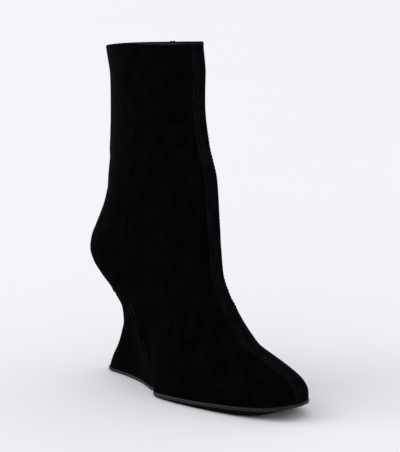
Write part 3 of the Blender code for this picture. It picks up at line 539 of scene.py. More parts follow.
def nested_half(x, z, side, depth):
    """Half width inside the upper that keeps its distance round the heel and toe too."""
    back = back_line(z)
    back_round = section["back_round"](z) * (front_line(z) - back)
    lean = (back_line(z + PROBE) - back_line(z - PROBE)) / (2 * PROBE)
    inward = depth * math.sqrt(1 + lean ** 2)
    heel_middle = back + back_round
    toe_middle = LENGTH - TOE_LENGTH
    if x < heel_middle:
        moved = heel_middle + (x - heel_middle) * back_round / (back_round - inward)
        middle = heel_middle
    elif x > toe_middle:
        inward = depth * TOE_STEEPNESS
        moved = toe_middle + (x - toe_middle) * TOE_LENGTH / (TOE_LENGTH - inward)
        middle = toe_middle
    else:
        return inner_half(x, z, side, depth)
    share = inner_half(middle, z, side, depth) / outer_half(middle, z, side)
    return min(outer_half(moved, z, side) * share, inner_half(x, z, side, depth))


def girth_point(row, share, side):
    """A place of the side view on one girth."""
    back_z = back_z_of_row(row)
    front_z = front_z_of_row(row)
    back_x = back_line(back_z)
    front_x = front_line(front_z)
    along = share ** lag_of_row(row)
    first = share ** lag_of_row(0)
    x = back_x + (front_x - back_x) * along
    first_x = back_line.y[0] + (front_line.y[0] - back_line.y[0]) * first
    first_z = back_z_of_row(0) + (front_z_of_row(0) - back_z_of_row(0)) * first
    dip = (lower_edge(first_x) - first_z) * dip_of_row(row)
    rise = COLLAR_RISE_LATERAL if side == LATERAL else COLLAR_RISE_MEDIAL
    top = smooth((row / TOP_ROW - COLLAR_RISE_START) / (1 - COLLAR_RISE_START))
    z = back_z + (front_z - back_z) * along + dip + rise * top * np.sin(np.pi * share)
    return x, z


def surface(row, share, side):
    """The boot's smooth outer surface, for arrays of rows and shares of one shape."""
    x, z = girth_point(row, share, side)
    y = centre(x) + side * outer_half(x, z, side)
    zip_holds = ZIP_HOLD * np.sin(np.pi * share) if side == MEDIAL else 0.0
    below_rim = girth_point(TOP_ROW, share, side)[1] - z
    lean = COLLAR_LEAN * smooth(1 - below_rim / LEAN_RISE) * (1 - zip_holds)
    return np.stack([x - lean, y, z], -1)


def band_width(row):
    return BAND_TOE + (BAND_SHAFT - BAND_TOE) * smooth(row / bend_row)


def share_at_band(row, part_of_band, side):
    """Where girths come within a part of the front strip's half width of the ridge."""
    target = part_of_band * band_width(row)
    ridge_x, ridge_z = girth_point(row, 1.0, side)
    low = np.full(np.broadcast(row, part_of_band).shape, 0.6)
    high = np.ones_like(low)
    for _ in range(HALVINGS):
        middle = (low + high) / 2
        x, z = girth_point(row, middle, side)
        beside = BAND_SIDE_WEIGHT * np.hypot(x - ridge_x, z - ridge_z)
        outside = np.hypot(outer_half(x, z, side), beside) > target
        low = np.where(outside, middle, low)
        high = np.where(outside, high, middle)
    return (low + high) / 2


def zip_share(row):
    """Where girths cross the zip's straight middle line."""
    low = np.full(np.shape(row), 0.2)
    high = np.full(np.shape(row), 0.8)
    for _ in range(HALVINGS):
        middle = (low + high) / 2
        x, z = girth_point(row, middle, MEDIAL)
        zip_x = ZIP_FOOT_X + (ZIP_TOP_X - ZIP_FOOT_X) * (z - ZIP_FOOT) / (BOOT_HEIGHT - ZIP_FOOT)
        low = np.where(x < zip_x, middle, low)
        high = np.where(x < zip_x, high, middle)
    return (low + high) / 2


def girth_length(row, side):
    x0, z0 = girth_point(row, 0.0, side)
    x1, z1 = girth_point(row, 1.0, side)
    return np.hypot(x1 - x0, z1 - z0)


def spread(count, ends=0.45):
    """Shares from 0 to 1, closer together near both ends."""
    even = np.linspace(0, 1, count)
    return (1 - ends) * even + ends * (1 - np.cos(np.pi * even)) / 2


# ---- Relief of the suede over the smooth surface

def crease_relief(x, z, side):
    relief = np.zeros(np.shape(x))
    for row in CREASES:
        crease = dict(zip(CREASE_COLUMNS, row))
        if crease["side"] != side:
            continue
        start = np.array([crease["x0"], crease["z0"]])
        run = np.array([crease["x1"], crease["z1"]]) - start
        length = np.hypot(*run)
        run = run / length
        along = (x - start[0]) * run[0] + (z - start[1]) * run[1]
        bow = CREASE_BOW * length * np.sin(np.pi * np.clip(along / length, 0, 1))
        across = -(x - start[0]) * run[1] + (z - start[1]) * run[0] + bow
        before, rise, fall = CREASE_RUN_OUT
        ends = (smooth((along + before) / (rise * length))
                * smooth((length - along) / (fall * length)))
        half = crease["half"]
        place, width, height = SWELLING
        profile = bump(across, half) - swell(across, place * half, width * half, height)
        relief -= crease["depth"] * profile * ends
    return relief


def slack_relief(x, z, side):
    """The faint unevenness of soft leather that nothing fills from inside."""
    # Each divisor is a wave's length in millimetres over 2 pi
    phase = 1.3 * side
    waves = (np.sin(x / 17.0 + z / 23.0 + phase) * np.sin(z / 19.0 - x / 41.0 + 2 * phase)
             + FINE_SLACK * np.sin(x / 9.5 - z / 13.0 + 3 * phase) * np.sin(z / 11.0 + phase))
    return SLACK * waves * ramp(z, *SLACK_FROM)


def waist_step(x, side):
    """The sole's plan turns out to the ball more sharply than a smooth curve."""
    return (swell(x, *STEP_OUT) - swell(x, *STEP_IN)) * (side == LATERAL)


def step_in_cover(x, z, side):
    """What the suede and the wedge's cover keep of that step at a height."""
    return waist_step(x, side) * (1 - ramp(z, *STEP_FADE))


def waist_relief(x, z, side):
    """The suede follows the sole's step low down, and above it bridges the hollow between
    the wedge and the ball."""
    height = ramp(z, *BRIDGE_FROM) * (1 - ramp(z, *BRIDGE_FADE))
    return swell(x, *BRIDGE) * height * (side == LATERAL) + step_in_cover(x, z, side)


def strip_relief(w):
    """Raised strip: its edge, the dents of the stitch rows and the swelling between them."""
    raised = BAND_RISE * smooth((1.0 - w) / STRIP_EDGE)
    for place in BAND_ROWS:
        raised = raised - swell(w, place, *ROW_DENT)
    return raised - swell(w, *STRIP_GROOVE)


def back_seam_relief(half, share):
    return -swell(half, 0.0, *BACK_SEAM) * (share < 0.1)


def relief_at(row, share, side, w):
    x, z = girth_point(row, share, side)
    half = outer_half(x, z, side)
    total = crease_relief(x, z, side) + slack_relief(x, z, side) + waist_relief(x, z, side)
    total = total * smooth(half / RELIEF_FADE)
    return total + strip_relief(w) + back_seam_relief(half, share)


def numeric_normal(row, share, side):
    row = np.clip(row, ROW_MARGIN, TOP_ROW - ROW_MARGIN)
    along = surface(row, share + SHARE_STEP, side) - surface(row, share - SHARE_STEP, side)
    up = surface(row + ROW_STEP, share, side) - surface(row - ROW_STEP, share, side)
    normal = np.cross(along, up)
    normal /= np.linalg.norm(normal, axis=-1, keepdims=True)
    outward = np.sign(normal[..., 1:2]) * side
    return normal * outward


def dressed(row, share, side, w, lift):
    """Places on the finished suede, lifted by a height over it, with their normals."""
    row = np.asarray(row, float)
    normal = numeric_normal(row, share, side)
    place = surface(row, share, side)
    height = relief_at(row, share, side, w) + lift
    return place + normal * height[..., None], normal


# ---- Meshes

def new_piece(name, points, faces, smooth_angle=40):
    mesh = bpy.data.meshes.new(name)
    mesh.from_pydata([tuple(p) for p in (np.asarray(points) + SHIFT) * MM], [], faces)
    bm = bmesh.new()
    bm.from_mesh(mesh)
    bmesh.ops.recalc_face_normals(bm, faces=bm.faces)
    bm.to_mesh(mesh)
    bm.free()
    mesh.shade_smooth()
    mesh.set_sharp_from_angle(angle=math.radians(smooth_angle))
    piece = bpy.data.objects.new(name, mesh)
    bpy.context.scene.collection.objects.link(piece)
    return piece


def ring_faces(first, second, count):
    return [(first + j, first + (j + 1) % count, second + (j + 1) % count, second + j)
            for j in range(count)]


def level_cap(start, count):
    return [(start + j, start + j + 1, start + count - 2 - j, start + count - 1 - j)
            for j in range(count // 2 - 1)]


def stack_faces(rings, count, closed=False):
    faces = []
    for i in range(rings if closed else rings - 1):
        faces += ring_faces(i * count, ((i + 1) % rings) * count, count)
    return faces


def rod_faces(start, rings, count):
    """The sides of a rod and its two ends."""
    faces = []
    for i in range(rings - 1):
        faces += ring_faces(start + i * count, start + (i + 1) * count, count)
    last = start + (rings - 1) * count
    return faces + [tuple(range(start, start + count)), tuple(range(last, last + count))]


def side_columns(rows, side):
    """Shares and strip places of one side's columns, from behind to the ridge."""
    grid = rows[:, None]
    edge = share_at_band(grid, np.array([[BESIDE_STRIP]]), side)
    if side == LATERAL:
        shares = spread(SIDE_COLUMNS)[None, 1:] * edge
        lifts = np.zeros_like(shares)
    else:
        middle = zip_share(rows)[:, None]
        offsets = np.array(GROOVE_OFFSETS)[None] / girth_length(rows, side)[:, None]
        groove = middle + offsets
        before = spread(BEFORE_ZIP + 1)[None, 1:-1] * groove[:, :1]
        last = SIDE_COLUMNS - BEFORE_ZIP - len(GROOVE_OFFSETS)
        after = groove[:, -1:] + (edge - groove[:, -1:]) * spread(last + 1)[None, 1:]
        shares = np.concatenate([before, groove, after], 1)
        _, z = girth_point(rows, zip_share(rows), side)
        there = smooth((z - ZIP_FOOT + GROOVE_AHEAD) / GROOVE_RUN_IN)[:, None]
        lifts = np.zeros_like(shares)
        start = before.shape[1]
        lifts[:, start:start + len(GROOVE_LIFTS)] = np.array(GROOVE_LIFTS)[None] * there
    w = np.concatenate([np.linspace(1.03, 0.90, BAND_EDGE_COLUMNS),
                        np.linspace(0.86, 0.0, BAND_COLUMNS - BAND_EDGE_COLUMNS + 1)[:-1]])
    band = share_at_band(grid, w[None], side)
    all_shares = np.concatenate([shares, band], 1)
    x, z = girth_point(grid, all_shares, side)
    ridge_x, ridge_z = girth_point(grid, 1.0, side)
    beside = BAND_SIDE_WEIGHT * np.hypot(x - ridge_x, z - ridge_z)
    away = np.hypot(outer_half(x, z, side), beside) / band_width(grid)
    lifts = np.concatenate([lifts, np.zeros_like(band)], 1)
    return all_shares, away, lifts


def grid_normals(grid):
    around = np.roll(grid, -1, axis=1) - np.roll(grid, 1, axis=1)
    up = np.gradient(grid, axis=0)
    normal = np.cross(around, up)
    return normal / np.linalg.norm(normal, axis=2, keepdims=True)


def upper_rings():
    """The suede's smooth surface and its relief, a closed ring for each girth."""
    rows = np.concatenate([np.linspace(0, HEM_END, HEM_RINGS)[:-1],
                           np.linspace(HEM_END, TOP_ROW - SHAFT_END, UPPER_RINGS),
                           np.linspace(TOP_ROW - RIM_START, TOP_ROW, COLLAR_RINGS)])
    level = rows[:, None]
    places = {}
    reliefs = {}
    for side in (LATERAL, MEDIAL):
        shares, w, lifts = side_columns(rows, side)
        places[side] = surface(level, shares, side)
        reliefs[side] = relief_at(level, shares, side, w) + lifts
    back = surface(rows, 0.0, LATERAL)[:, None]
    ridge = surface(rows, 1.0, LATERAL)[:, None]
    grid = np.concatenate([back, places[LATERAL], ridge, places[MEDIAL][:, ::-1]], 1)
    relief = np.concatenate([
        np.full_like(level, back_seam_relief(0.0, 0.0)), reliefs[LATERAL],
        np.full_like(level, BAND_RISE), reliefs[MEDIAL][:, ::-1]], 1)
    return rows, grid, relief, places[LATERAL].shape[1] + 1


def round_ridge(grid, ridge):
    """Takes the sharpness off the ridge, as folded suede does."""
    for _ in range(RIDGE_ROUNDS):
        moved = grid.copy()
        for j in range(ridge - RIDGE_REACH, ridge + RIDGE_REACH + 1):
            share = 0.5 * (1 - (abs(j - ridge) / (RIDGE_REACH + 1)) ** 2)
            average = (grid[:, j - 1] + grid[:, j + 1]) / 2
            moved[:, j] += (average - grid[:, j]) * share
        grid = moved
    return grid


def edge_roll(place, normal, up, radius, angles):
    """Rings round a turned edge, from the outside to the inside."""
    rings = []
    for angle in angles:
        turn = math.radians(angle)
        rings.append(place - normal * radius + normal * radius * math.cos(turn)
                     + up * radius * math.sin(turn))
    return rings


def seam_distance(grid):
    """How far each place is from the upper's edge over the wedge, in the side view."""
    xs = np.linspace(SEAM_SPAN[0] * LENGTH, SEAM_SPAN[1] * LENGTH, 500)
    seam = np.stack([xs, seam_curve(xs)], 1)
    flat = grid[:, :, [0, 2]].reshape(-1, 2)
    nearest = [np.hypot(*(part[:, None] - seam[None]).transpose(2, 0, 1)).min(axis=1)
               for part in np.array_split(flat, 40)]
    return np.concatenate(nearest).reshape(grid.shape[:2])


def unit(vectors):
    return vectors / np.linalg.norm(vectors, axis=-1, keepdims=True)


def make_upper():
    rows, grid, relief, ridge = upper_rings()
    grid = round_ridge(grid, ridge)
    normal = grid_normals(grid)
    to_edge = seam_distance(grid)
    over_wedge = smooth((SEAM_FOOT * LENGTH + FOLDS_PAST - grid[0, :, 0]) / FOLDS_FADE)[None]
    hem = sum(height * bump(to_edge - away, half) for away, half, height in EDGE_FOLDS)
    hem = hem * over_wedge
    to_rim = grid[-1:, :, 2] - grid[:, :, 2]
    collar = swell(to_rim, *RIM_BEAD) * smooth(to_rim)
    outer = grid + normal * (relief + hem + collar)[:, :, None]
    outer[:, :, 2] -= RIM_DROP * (1 - to_rim / RIM_REACH).clip(0.0, 1.0)
    up = unit(outer[-1] - outer[-3])
    top = edge_roll(outer[-1], normal[-1], up, WALL / 2, (25, 50, 75, 100, 125, 150, 175))
    down = unit(outer[0] - outer[2])
    bottom = edge_roll(outer[0], normal[0], down, HEM_RADIUS, (30, 60, 90, 120, 150, 180))
    inside = [grid[i] - normal[i] * WALL for i in range(len(rows) - 2, 2, -LINING_STEP)]
    stack = list(outer) + top + inside + bottom[::-1]
    count = grid.shape[1]
    faces = stack_faces(len(stack), count, closed=True)
    upper = new_piece("suede_upper", np.concatenate(stack), faces)
    # Lighter suede on the folds, partly nap rubbed open and partly a painted highlight: the
    # collar's rim, the bead over the wedge and the lip above its groove
    on_bead = (to_edge < HIGHLIT_BEAD_WIDTH) | (abs(to_edge - EDGE_FOLDS[2][0]) < HIGHLIT_LIP_HALF)
    folded = on_bead & (over_wedge > 0.5)
    # Painted highlight, partly rubbed wear: a band under the rim that widens towards the front
    rubbed = to_rim < RUBBED_HIGHLIT_RIM * ramp(grid[-1:, :, 0], *RUBBED_HIGHLIT_FROM)
    lining_from = len(outer) + len(top) - 2
    roll_from = len(stack) - len(bottom)
    for polygon in upper.data.polygons:
        rings = [v // count for v in polygon.vertices]
        across = [v % count for v in polygon.vertices]
        on_face = max(rings) < len(outer)
        if on_face and sum(rubbed[i, j] for i, j in zip(rings, across)) > 2:
            polygon.material_index = RUBBED_AND_HIGHLIT
        elif on_face and sum(folded[i, j] for i, j in zip(rings, across)) > 2:
            polygon.material_index = FOLDED_HIGHLIT
        # The strip's lighter suede is a painted highlight for the light its ridge catches
        elif on_face and -BAND_COLUMNS < min(across) - ridge and max(across) <= ridge + 2:
            polygon.material_index = STRIP
        elif on_face:
            polygon.material_index = FACE
        # The rolled edges at the rim and the hem take the folded suede, a painted highlight
        # along them
        elif min(rings) < lining_from or max(rings) >= roll_from:
            polygon.material_index = FOLDED_HIGHLIT
        else:
            polygon.material_index = LINING
    return upper


wedge_z = column(WEDGE, WEDGE_COLUMNS, "height") * HEEL_HEIGHT
wedge_back = Curve(wedge_z, column(WEDGE, WEDGE_COLUMNS, "back") * LENGTH
                   + BASE_BACK - WEDGE[0][1] * LENGTH)
wedge_end_half = Curve(wedge_z, column(WEDGE, WEDGE_COLUMNS, "half") * BASE_WIDTH)
wedge_round = Curve(wedge_z, column(WEDGE, WEDGE_COLUMNS, "round") * LENGTH)


def seam_x(z):
    xs = np.linspace(0.2 * LENGTH, SEAM_FOOT * LENGTH, 200)
    return np.interp(-z, -seam_curve(xs), xs)


def wedge_half(x, z, side):
    back = wedge_back(z)
    end = wedge_end_half(z)
    front = max(seam_x(z), back + FLARE_ROOM * wedge_round(z))
    at_seam = outer_half(front, max(z, lower_edge(front)), side) - WEDGE_INSET
    start = back + FLARE_START * wedge_round(z)
    flare = np.clip((x - start) / (front - start), 0.0, 1.0) ** WEDGE_FLARE_POWER
    plain = end * rounded((x - back) / wedge_round(z), 0.5) + (at_seam - end) * flare
    return plain + step_in_cover(x, z, side)


def make_wedge_cover():
    """The suede-covered wedge, with its edge turned under at the sole and at the upper."""
    bottom = SOLE_THICKNESS - COVER_BELOW
    shelf = lower_edge(back_line.y[0]) - GAP
    levels = [(bottom + up, tuck) for up, tuck in COVER_FOOT]
    levels += [(z, 0.0) for z in np.linspace(bottom + COVER_PLAIN[0], shelf - COVER_PLAIN[1],
                                           COVER_LEVELS)]
    levels += [(shelf + up, tuck) for up, tuck in COVER_SHELF]
    rings = []
    for z, tuck in levels:
        back = wedge_back(z) + tuck
        front = seam_x(z + COVER_ABOVE) - COVER_BEHIND
        xs = back + (front - back) * spread(COVER_COLUMNS, 0.8)
        inside = front + np.array([ahead for ahead, _ in COVER_UNDER])
        sides = []
        for side in (LATERAL, MEDIAL):
            ys = [max(wedge_half(x, z, side) - tuck, 0.05) for x in xs]
            ys += [ys[-1] - inward for _, inward in COVER_UNDER]
            sides.append(np.stack([np.concatenate([xs, inside]), np.array(ys)], 1))
        ring = [(x, centre(x) - y, z) for x, y in sides[0]]
        ring += [(x, centre(x) + y, z) for x, y in sides[1][::-1]]
        rings.append(np.array(ring))
    count = len(rings[0])
    grid = np.array(rings)
    normal = grid_normals(grid)
    x = grid[:, :, 0]
    waves = COVER_WAVES * np.sin(grid[:, :, 2] / 7.0 + x / 15.0) * np.sin(x / 9.0 + 1.0)
    waves[:len(COVER_FOOT) + 1] = 0
    waves[-len(COVER_SHELF) - 1:] = 0
    grid = grid + normal * waves[:, :, None]
    faces = stack_faces(len(grid), count)
    faces += level_cap(0, count)
    faces += level_cap((len(grid) - 1) * count, count)
    return new_piece("suede_wedge_cover", np.concatenate(grid), faces)


def sole_half(x, side):
    rear = rounded((x - BASE_BACK) / (WEDGE[0][3] * LENGTH), 0.5) * BASE_WIDTH / 2
    joint = SEAM_FOOT * LENGTH
    if x >= joint:
        return foot_half(x, side) + SOLE_MARGIN + waist_step(x, side)
    start = BASE_BACK + FLARE_START * WEDGE[0][3] * LENGTH
    flare = np.clip((x - start) / (joint - start), 0.0, 1.0) ** WEDGE_FLARE_POWER
    out = foot_half(joint, side) + SOLE_MARGIN - BASE_WIDTH / 2
    return rear + out * flare + waist_step(x, side)


def plan_outline(ends, half, count, dense=0.75):
    """A closed plan: the lateral side forwards, then the medial side back, with inward
    directions."""
    xs = ends[0] + (ends[1] - ends[0]) * spread(count, dense)
    lateral = [(x, centre(x) - half(x, LATERAL)) for x in xs]
    medial = [(x, centre(x) + half(x, MEDIAL)) for x in xs]
    plan = np.array(lateral + medial[::-1])
    along = unit(np.roll(plan, -1, axis=0) - np.roll(plan, 1, axis=0))
    return plan, np.stack([-along[:, 1], along[:, 0]], 1)


def rings_round(plan, inward, steps):
    """Rings round a plan from pairs of an inset and a height, numbers or arrays."""
    rings = []
    for inset, height in steps:
        moved = plan + inward * (np.zeros(len(plan)) + inset)[:, None]
        rings.append(np.column_stack([moved, np.zeros(len(plan)) + height]))
    return rings


def slab(name, rings, columns, under, over):
    """A sheet from the rings round its edge. under and over shape its two faces."""
    points = [tuple(p) for ring in rings for p in ring]
    size = len(rings[0])
    half = size // 2
    faces = stack_faces(len(rings), size)
    for level, shape in ((0, under), (len(rings) - 1, over)):
        lateral = rings[level][:half]
        medial = rings[level][half:][::-1]
        ends = lateral[:, 0].min(), lateral[:, 0].max()
        index = np.zeros((half, columns), int)
        index[:, 0] = level * size + np.arange(half)
        index[:, -1] = level * size + size - 1 - np.arange(half)
        for i in range(1, half - 1):
            width = np.linalg.norm(medial[i] - lateral[i])
            for j in range(1, columns - 1):
                share = j / (columns - 1)
                x, y, z = lateral[i] * (1 - share) + medial[i] * share
                edge = min(min(share, 1 - share) * width, x - ends[0], ends[1] - x)
                points.append((x, y, z + shape(x, edge)))
                index[i, j] = len(points) - 1
        for i in range(1, half - 2):
            for j in range(columns - 1):
                faces.append((index[i, j], index[i, j + 1], index[i + 1, j + 1],
                              index[i + 1, j]))
        for end, beside in ((0, 1), (half - 1, half - 2)):
            tip = [index[end, 0 if j < columns // 2 else -1] for j in range(columns)]
            for j in range(columns - 1):
                corners = (tip[j], index[beside, j], index[beside, j + 1], tip[j + 1])
                faces.append(tuple(dict.fromkeys(corners)))
    return new_piece(name, np.array(points), faces, 35)


def make_sole():
    """Moulded sole: a rounded lip that laps the suede in the forepart, and under it a dull
    tread that curves down to the floor, with shallow ribs across it. Under the toe's spring the
    tread fills most of the gap, a dark sheet that stands for the shade there."""
    half = lambda x, side: max(sole_half(x, side), SLAB_TIP)
    plan, inward = plan_outline((BASE_BACK + 0.15, LENGTH), half, SOLE_COLUMNS, 0.5)
    x = plan[:, 0]
    low = sole_bottom(x)
    share = x / LENGTH
    # The tread fills most of the toe spring's gap: a dark sheet standing for the shade under the
    # toe
    tread = low * (1 - BELLY_SHADE_FILL * (ramp(share, *BELLY_SHADE_FILL_FROM) * (1 - ramp(share, *BELLY_SHADE_FILL_FADE))))
    lip_top = low + SOLE_THICKNESS + lip_rise(x)
    slim = THIN_LIP * (1 - ramp(share, *THIN_UNTIL))
    lip_low = lip_top - LIP_HEIGHT + slim
    reach = TREAD_INSET + TREAD_CURVE * ramp(share, *CURVE_FROM)
    steps = [(reach + (UNDER_LIP_INSET - reach) * u, tread + (lip_low - tread) * u ** TREAD_BOW)
             for u in TREAD_LEVELS]
    under_lip = len(steps)
    steps += [(inset, lip_low + up * (1 - slim / LIP_HEIGHT)) for inset, up in LIP]
    steps += [(LIP_TOP_INSET, lip_top), (SOLE_TOP_INSET, low + SOLE_THICKNESS)]

    def ribs(x, edge):
        wave = smooth(0.5 + 0.9 * math.sin(2 * math.pi * x / RIB_PITCH))
        return RIB_DEPTH * wave * ramp(edge, *RIB_FADE)

    sole = slab("moulded_sole", rings_round(plan, inward, steps), SOLE_ACROSS, ribs,
                lambda x, edge: 0.0)
    lip = range(under_lip * len(plan), len(steps) * len(plan))
    for polygon in sole.data.polygons:
        polygon.material_index = 0 if all(v in lip for v in polygon.vertices) else 1
    return sole


def insole_bottom(x):
    slope = (bed(x + PROBE) - bed(x - PROBE)) / (2 * PROBE)
    return bed(x) + BED_CLEARANCE * math.sqrt(1 + slope ** 2)


def insole_half(x, side):
    depth = WALL + INSOLE_CLEARANCE
    low = insole_bottom(x)
    lowest = nested_half(x, low, side, depth)
    return min(lowest, nested_half(x, low + INSOLE_THICKNESS, side, depth))


def make_sock():
    """Leather sock over a thin pad, with a soft rise round its edge."""
    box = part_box("insole")
    low = box[0][0] / MM - SHIFT[0]
    high = box[1][0] / MM - SHIFT[0]
    half = lambda x, side: max(insole_half(x, side), SOCK_TIP)
    plan, inward = plan_outline((low, high), half, SOCK_COLUMNS)
    under = np.array([insole_bottom(x) for x in plan[:, 0]])
    steps = [(inset, under + up) for inset, up in SOCK_EDGE]
    return slab("leather_sock", rings_round(plan, inward, steps), SOCK_ACROSS,
                lambda x, edge: 0.0, lambda x, edge: SOCK_RISE * smooth(edge / SOCK_RISE_RUN))


# ---- Threads, zip and small parts

def resample(points, normals, pitch):
    """Places at an even pitch along a path, with directions along it and out of it."""
    points = np.asarray(points)
    steps = np.linalg.norm(np.diff(points, axis=0), axis=1)
    length = np.concatenate([[0], np.cumsum(steps)])
    count = max(int(length[-1] / pitch), 1)
    at = (np.arange(count) + 0.5) * length[-1] / count

    def taken(values, where):
        return np.stack([np.interp(where, length, values[:, k]) for k in range(3)], 1)

    along = unit(taken(points, at + PROBE) - taken(points, at - PROBE))
    out = unit(taken(normals, at))
    out = unit(out - along * np.sum(out * along, axis=1, keepdims=True))
    return taken(points, at), along, out


def stitches(paths, name):
    """Short arched threads whose ends go down into the suede."""
    # Each station: share of the length along it, height over the suede and share of the radius
    stations = ((-0.5, -0.30, 0.8), (-0.34, 0.02, 1.0), (0.0, 0.10, 1.08), (0.34, 0.02, 1.0),
                (0.5, -0.30, 0.8))
    points = []
    faces = []
    for path_points, path_normals in paths:
        place, along, out = resample(path_points, path_normals, STITCH_PITCH)
        across = np.cross(out, along)
        for k in range(len(place)):
            faces += rod_faces(len(points), len(stations), THREAD_SIDES)
            for where, height, thick in stations:
                middle = place[k] + along[k] * where * STITCH_LENGTH + out[k] * height
                for s in range(THREAD_SIDES):
                    turn = 2 * math.pi * s / THREAD_SIDES
                    points.append(middle + (across[k] * math.cos(turn)
                                            + out[k] * math.sin(turn)) * THREAD * thick)
    return new_piece(name, np.array(points), faces, 60)


def strip_paths():
    paths = []
    rows = np.linspace(STRIP_ROWS_FROM, TOP_ROW - STRIP_ROWS_TO, 300)
    for side in (LATERAL, MEDIAL):
        for w in BAND_ROWS:
            share = share_at_band(rows, w, side)
            paths.append(dressed(rows, share, side, np.full(len(rows), w), STRIP_THREAD_LIFT))
    return paths


def zip_rows(low, high, count):
    """Rows whose crossing with the zip's middle goes from one height to another."""
    rows = np.linspace(3, TOP_ROW, 600)
    _, z = girth_point(rows, zip_share(rows), MEDIAL)
    return np.interp(np.linspace(low, high, count), z, rows)


def zip_line(rows, offset, lift):
    """A line beside the zip's middle at an offset along the girth, lifted off the surface."""
    share = zip_share(rows) + offset / girth_length(rows, MEDIAL)
    normal = numeric_normal(rows, share, MEDIAL)
    return surface(rows, share, MEDIAL) + normal * lift, normal


def beside_zip(rows, share):
    return dressed(rows, share, MEDIAL, np.full(len(rows), OFF_STRIP), ZIP_THREAD_LIFT)


def zip_paths():
    paths = []
    away = ZIP_GROOVE / 2 + ZIP_ROW_AWAY
    rows = zip_rows(ZIP_FOOT - ZIP_ROW_FOOT, BOOT_HEIGHT - ZIP_ROW_TOP, 160)
    for offset in (-away, away):
        share = zip_share(rows) + offset / girth_length(rows, MEDIAL)
        paths.append(beside_zip(rows, share))
    foot_row = zip_rows(ZIP_FOOT - ZIP_ROW_FOOT, ZIP_FOOT, 2)[:1]
    offsets = np.linspace(-away, away, 24)
    rows = np.repeat(foot_row, len(offsets))
    share = zip_share(rows) + offsets / girth_length(rows, MEDIAL)
    paths.append(beside_zip(rows, share))
    return paths


def ribbon(edges, thickness, out):
    """A closed strip between two lines of places, with a thickness along out."""
    first, second = edges
    rings = []
    for a, b, n in zip(first, second, out):
        rings.append(np.array([a, b, b + n * thickness, a + n * thickness]))
    return np.concatenate(rings), rod_faces(0, len(rings), 4)


def join_meshes(name, meshes, angle=40):
    points = []
    faces = []
    for some_points, some_faces in meshes:
        start = len(points)
        points += list(some_points)
        faces += [tuple(start + v for v in face) for face in some_faces]
    return new_piece(name, np.array(points), faces, angle)


def make_zip_tape():
    top = girth_point(float(TOP_ROW), zip_share(np.array(float(TOP_ROW))), MEDIAL)[1]
    rows = zip_rows(ZIP_FOOT + TAPE_FOOT, float(top), 150)
    meshes = []
    for side in (-1, 1):
        inner, normal = zip_line(rows, side * TAPE_EDGES[0], -TAPE_DEPTHS[0])
        outer, _ = zip_line(rows, side * TAPE_EDGES[1], -TAPE_DEPTHS[1])
        rise = unit(inner[-1] - inner[-2]) * TAPE_ABOVE_COLLAR
        inner = np.concatenate([inner, inner[-1:] + rise])
        outer = np.concatenate([outer, outer[-1:] + rise])
        normal = np.concatenate([normal, normal[-1:]])
        meshes.append(ribbon((inner, outer), TAPE_THICKNESS, normal))
    return join_meshes("zip_tape", meshes, 50)


def make_zip_coil():
    """Two rows of coil loops that mesh in the middle of the tape."""
    rows = zip_rows(ZIP_FOOT + COIL_FOOT, BOOT_HEIGHT - COIL_TOP, 200)
    middle, normal = zip_line(rows, 0.0, -COIL_DEPTH)
    place, along, out = resample(middle, normal, TOOTH_PITCH)
    across = np.cross(out, along)
    # A loop's section as places along and out, and its stations as places across and sizes
    profile = ((-0.50, 0.0), (-0.42, 0.42), (-0.16, 0.72), (0.16, 0.72), (0.42, 0.42),
               (0.50, 0.0))
    stations = ((-0.42, 0.55), (-0.15, 0.95), (0.9, 1.0), (1.45, 0.8), (1.62, 0.35))
    points = []
    faces = []
    for k in range(len(place)):
        for sign in (-1, 1):
            shift = along[k] * TOOTH_PITCH * 0.25 * sign
            faces += rod_faces(len(points), len(stations), len(profile))
            for where, size in stations:
                for a, h in profile:
                    points.append(place[k] + shift + across[k] * sign * where
                                  + along[k] * a * size + out[k] * (h * size - 0.05))
    return new_piece("zip_coil", np.array(points), faces, 50)


# ---- Materials

def linear(text):
    """Turns an sRGB hex colour into the linear one that a shader takes."""
    values = [int(text[i:i + 2], 16) / 255 for i in (1, 3, 5)]
    return tuple(v / 12.92 if v <= 0.04045 else ((v + 0.055) / 1.055) ** 2.4
                 for v in values) + (1.0,)


def per(size):
    """A texture's scale for features of a size in millimetres."""
    return 1 / (size * MM)


def bands(size):
    """A wave texture's scale for bands that lie a size in millimetres apart."""
    return per(size) * math.pi / 10


def add(tree, kind, inputs=None, **settings):
    """Adds a node with its settings. An input is a value, a socket, or a node whose first
    output goes in."""
    made = tree.nodes.new(kind)
    for name, value in settings.items():
        setattr(made, name, value)
    for name, value in (inputs or {}).items():
        if isinstance(value, bpy.types.Node):
            value = value.outputs[0]
        if isinstance(value, bpy.types.NodeSocket):
            tree.links.new(value, made.inputs[name])
        else:
            made.inputs[name].default_value = value
    return made


def start_material(name):
    material = bpy.data.materials.new(name)
    material.use_nodes = True
    tree = material.node_tree
    tree.nodes.clear()
    return material, tree, add(tree, "ShaderNodeTexCoord").outputs["Object"]


def finish_material(tree, inputs):
    shader = add(tree, "ShaderNodeBsdfPrincipled", inputs)
    add(tree, "ShaderNodeOutputMaterial", {"Surface": shader})


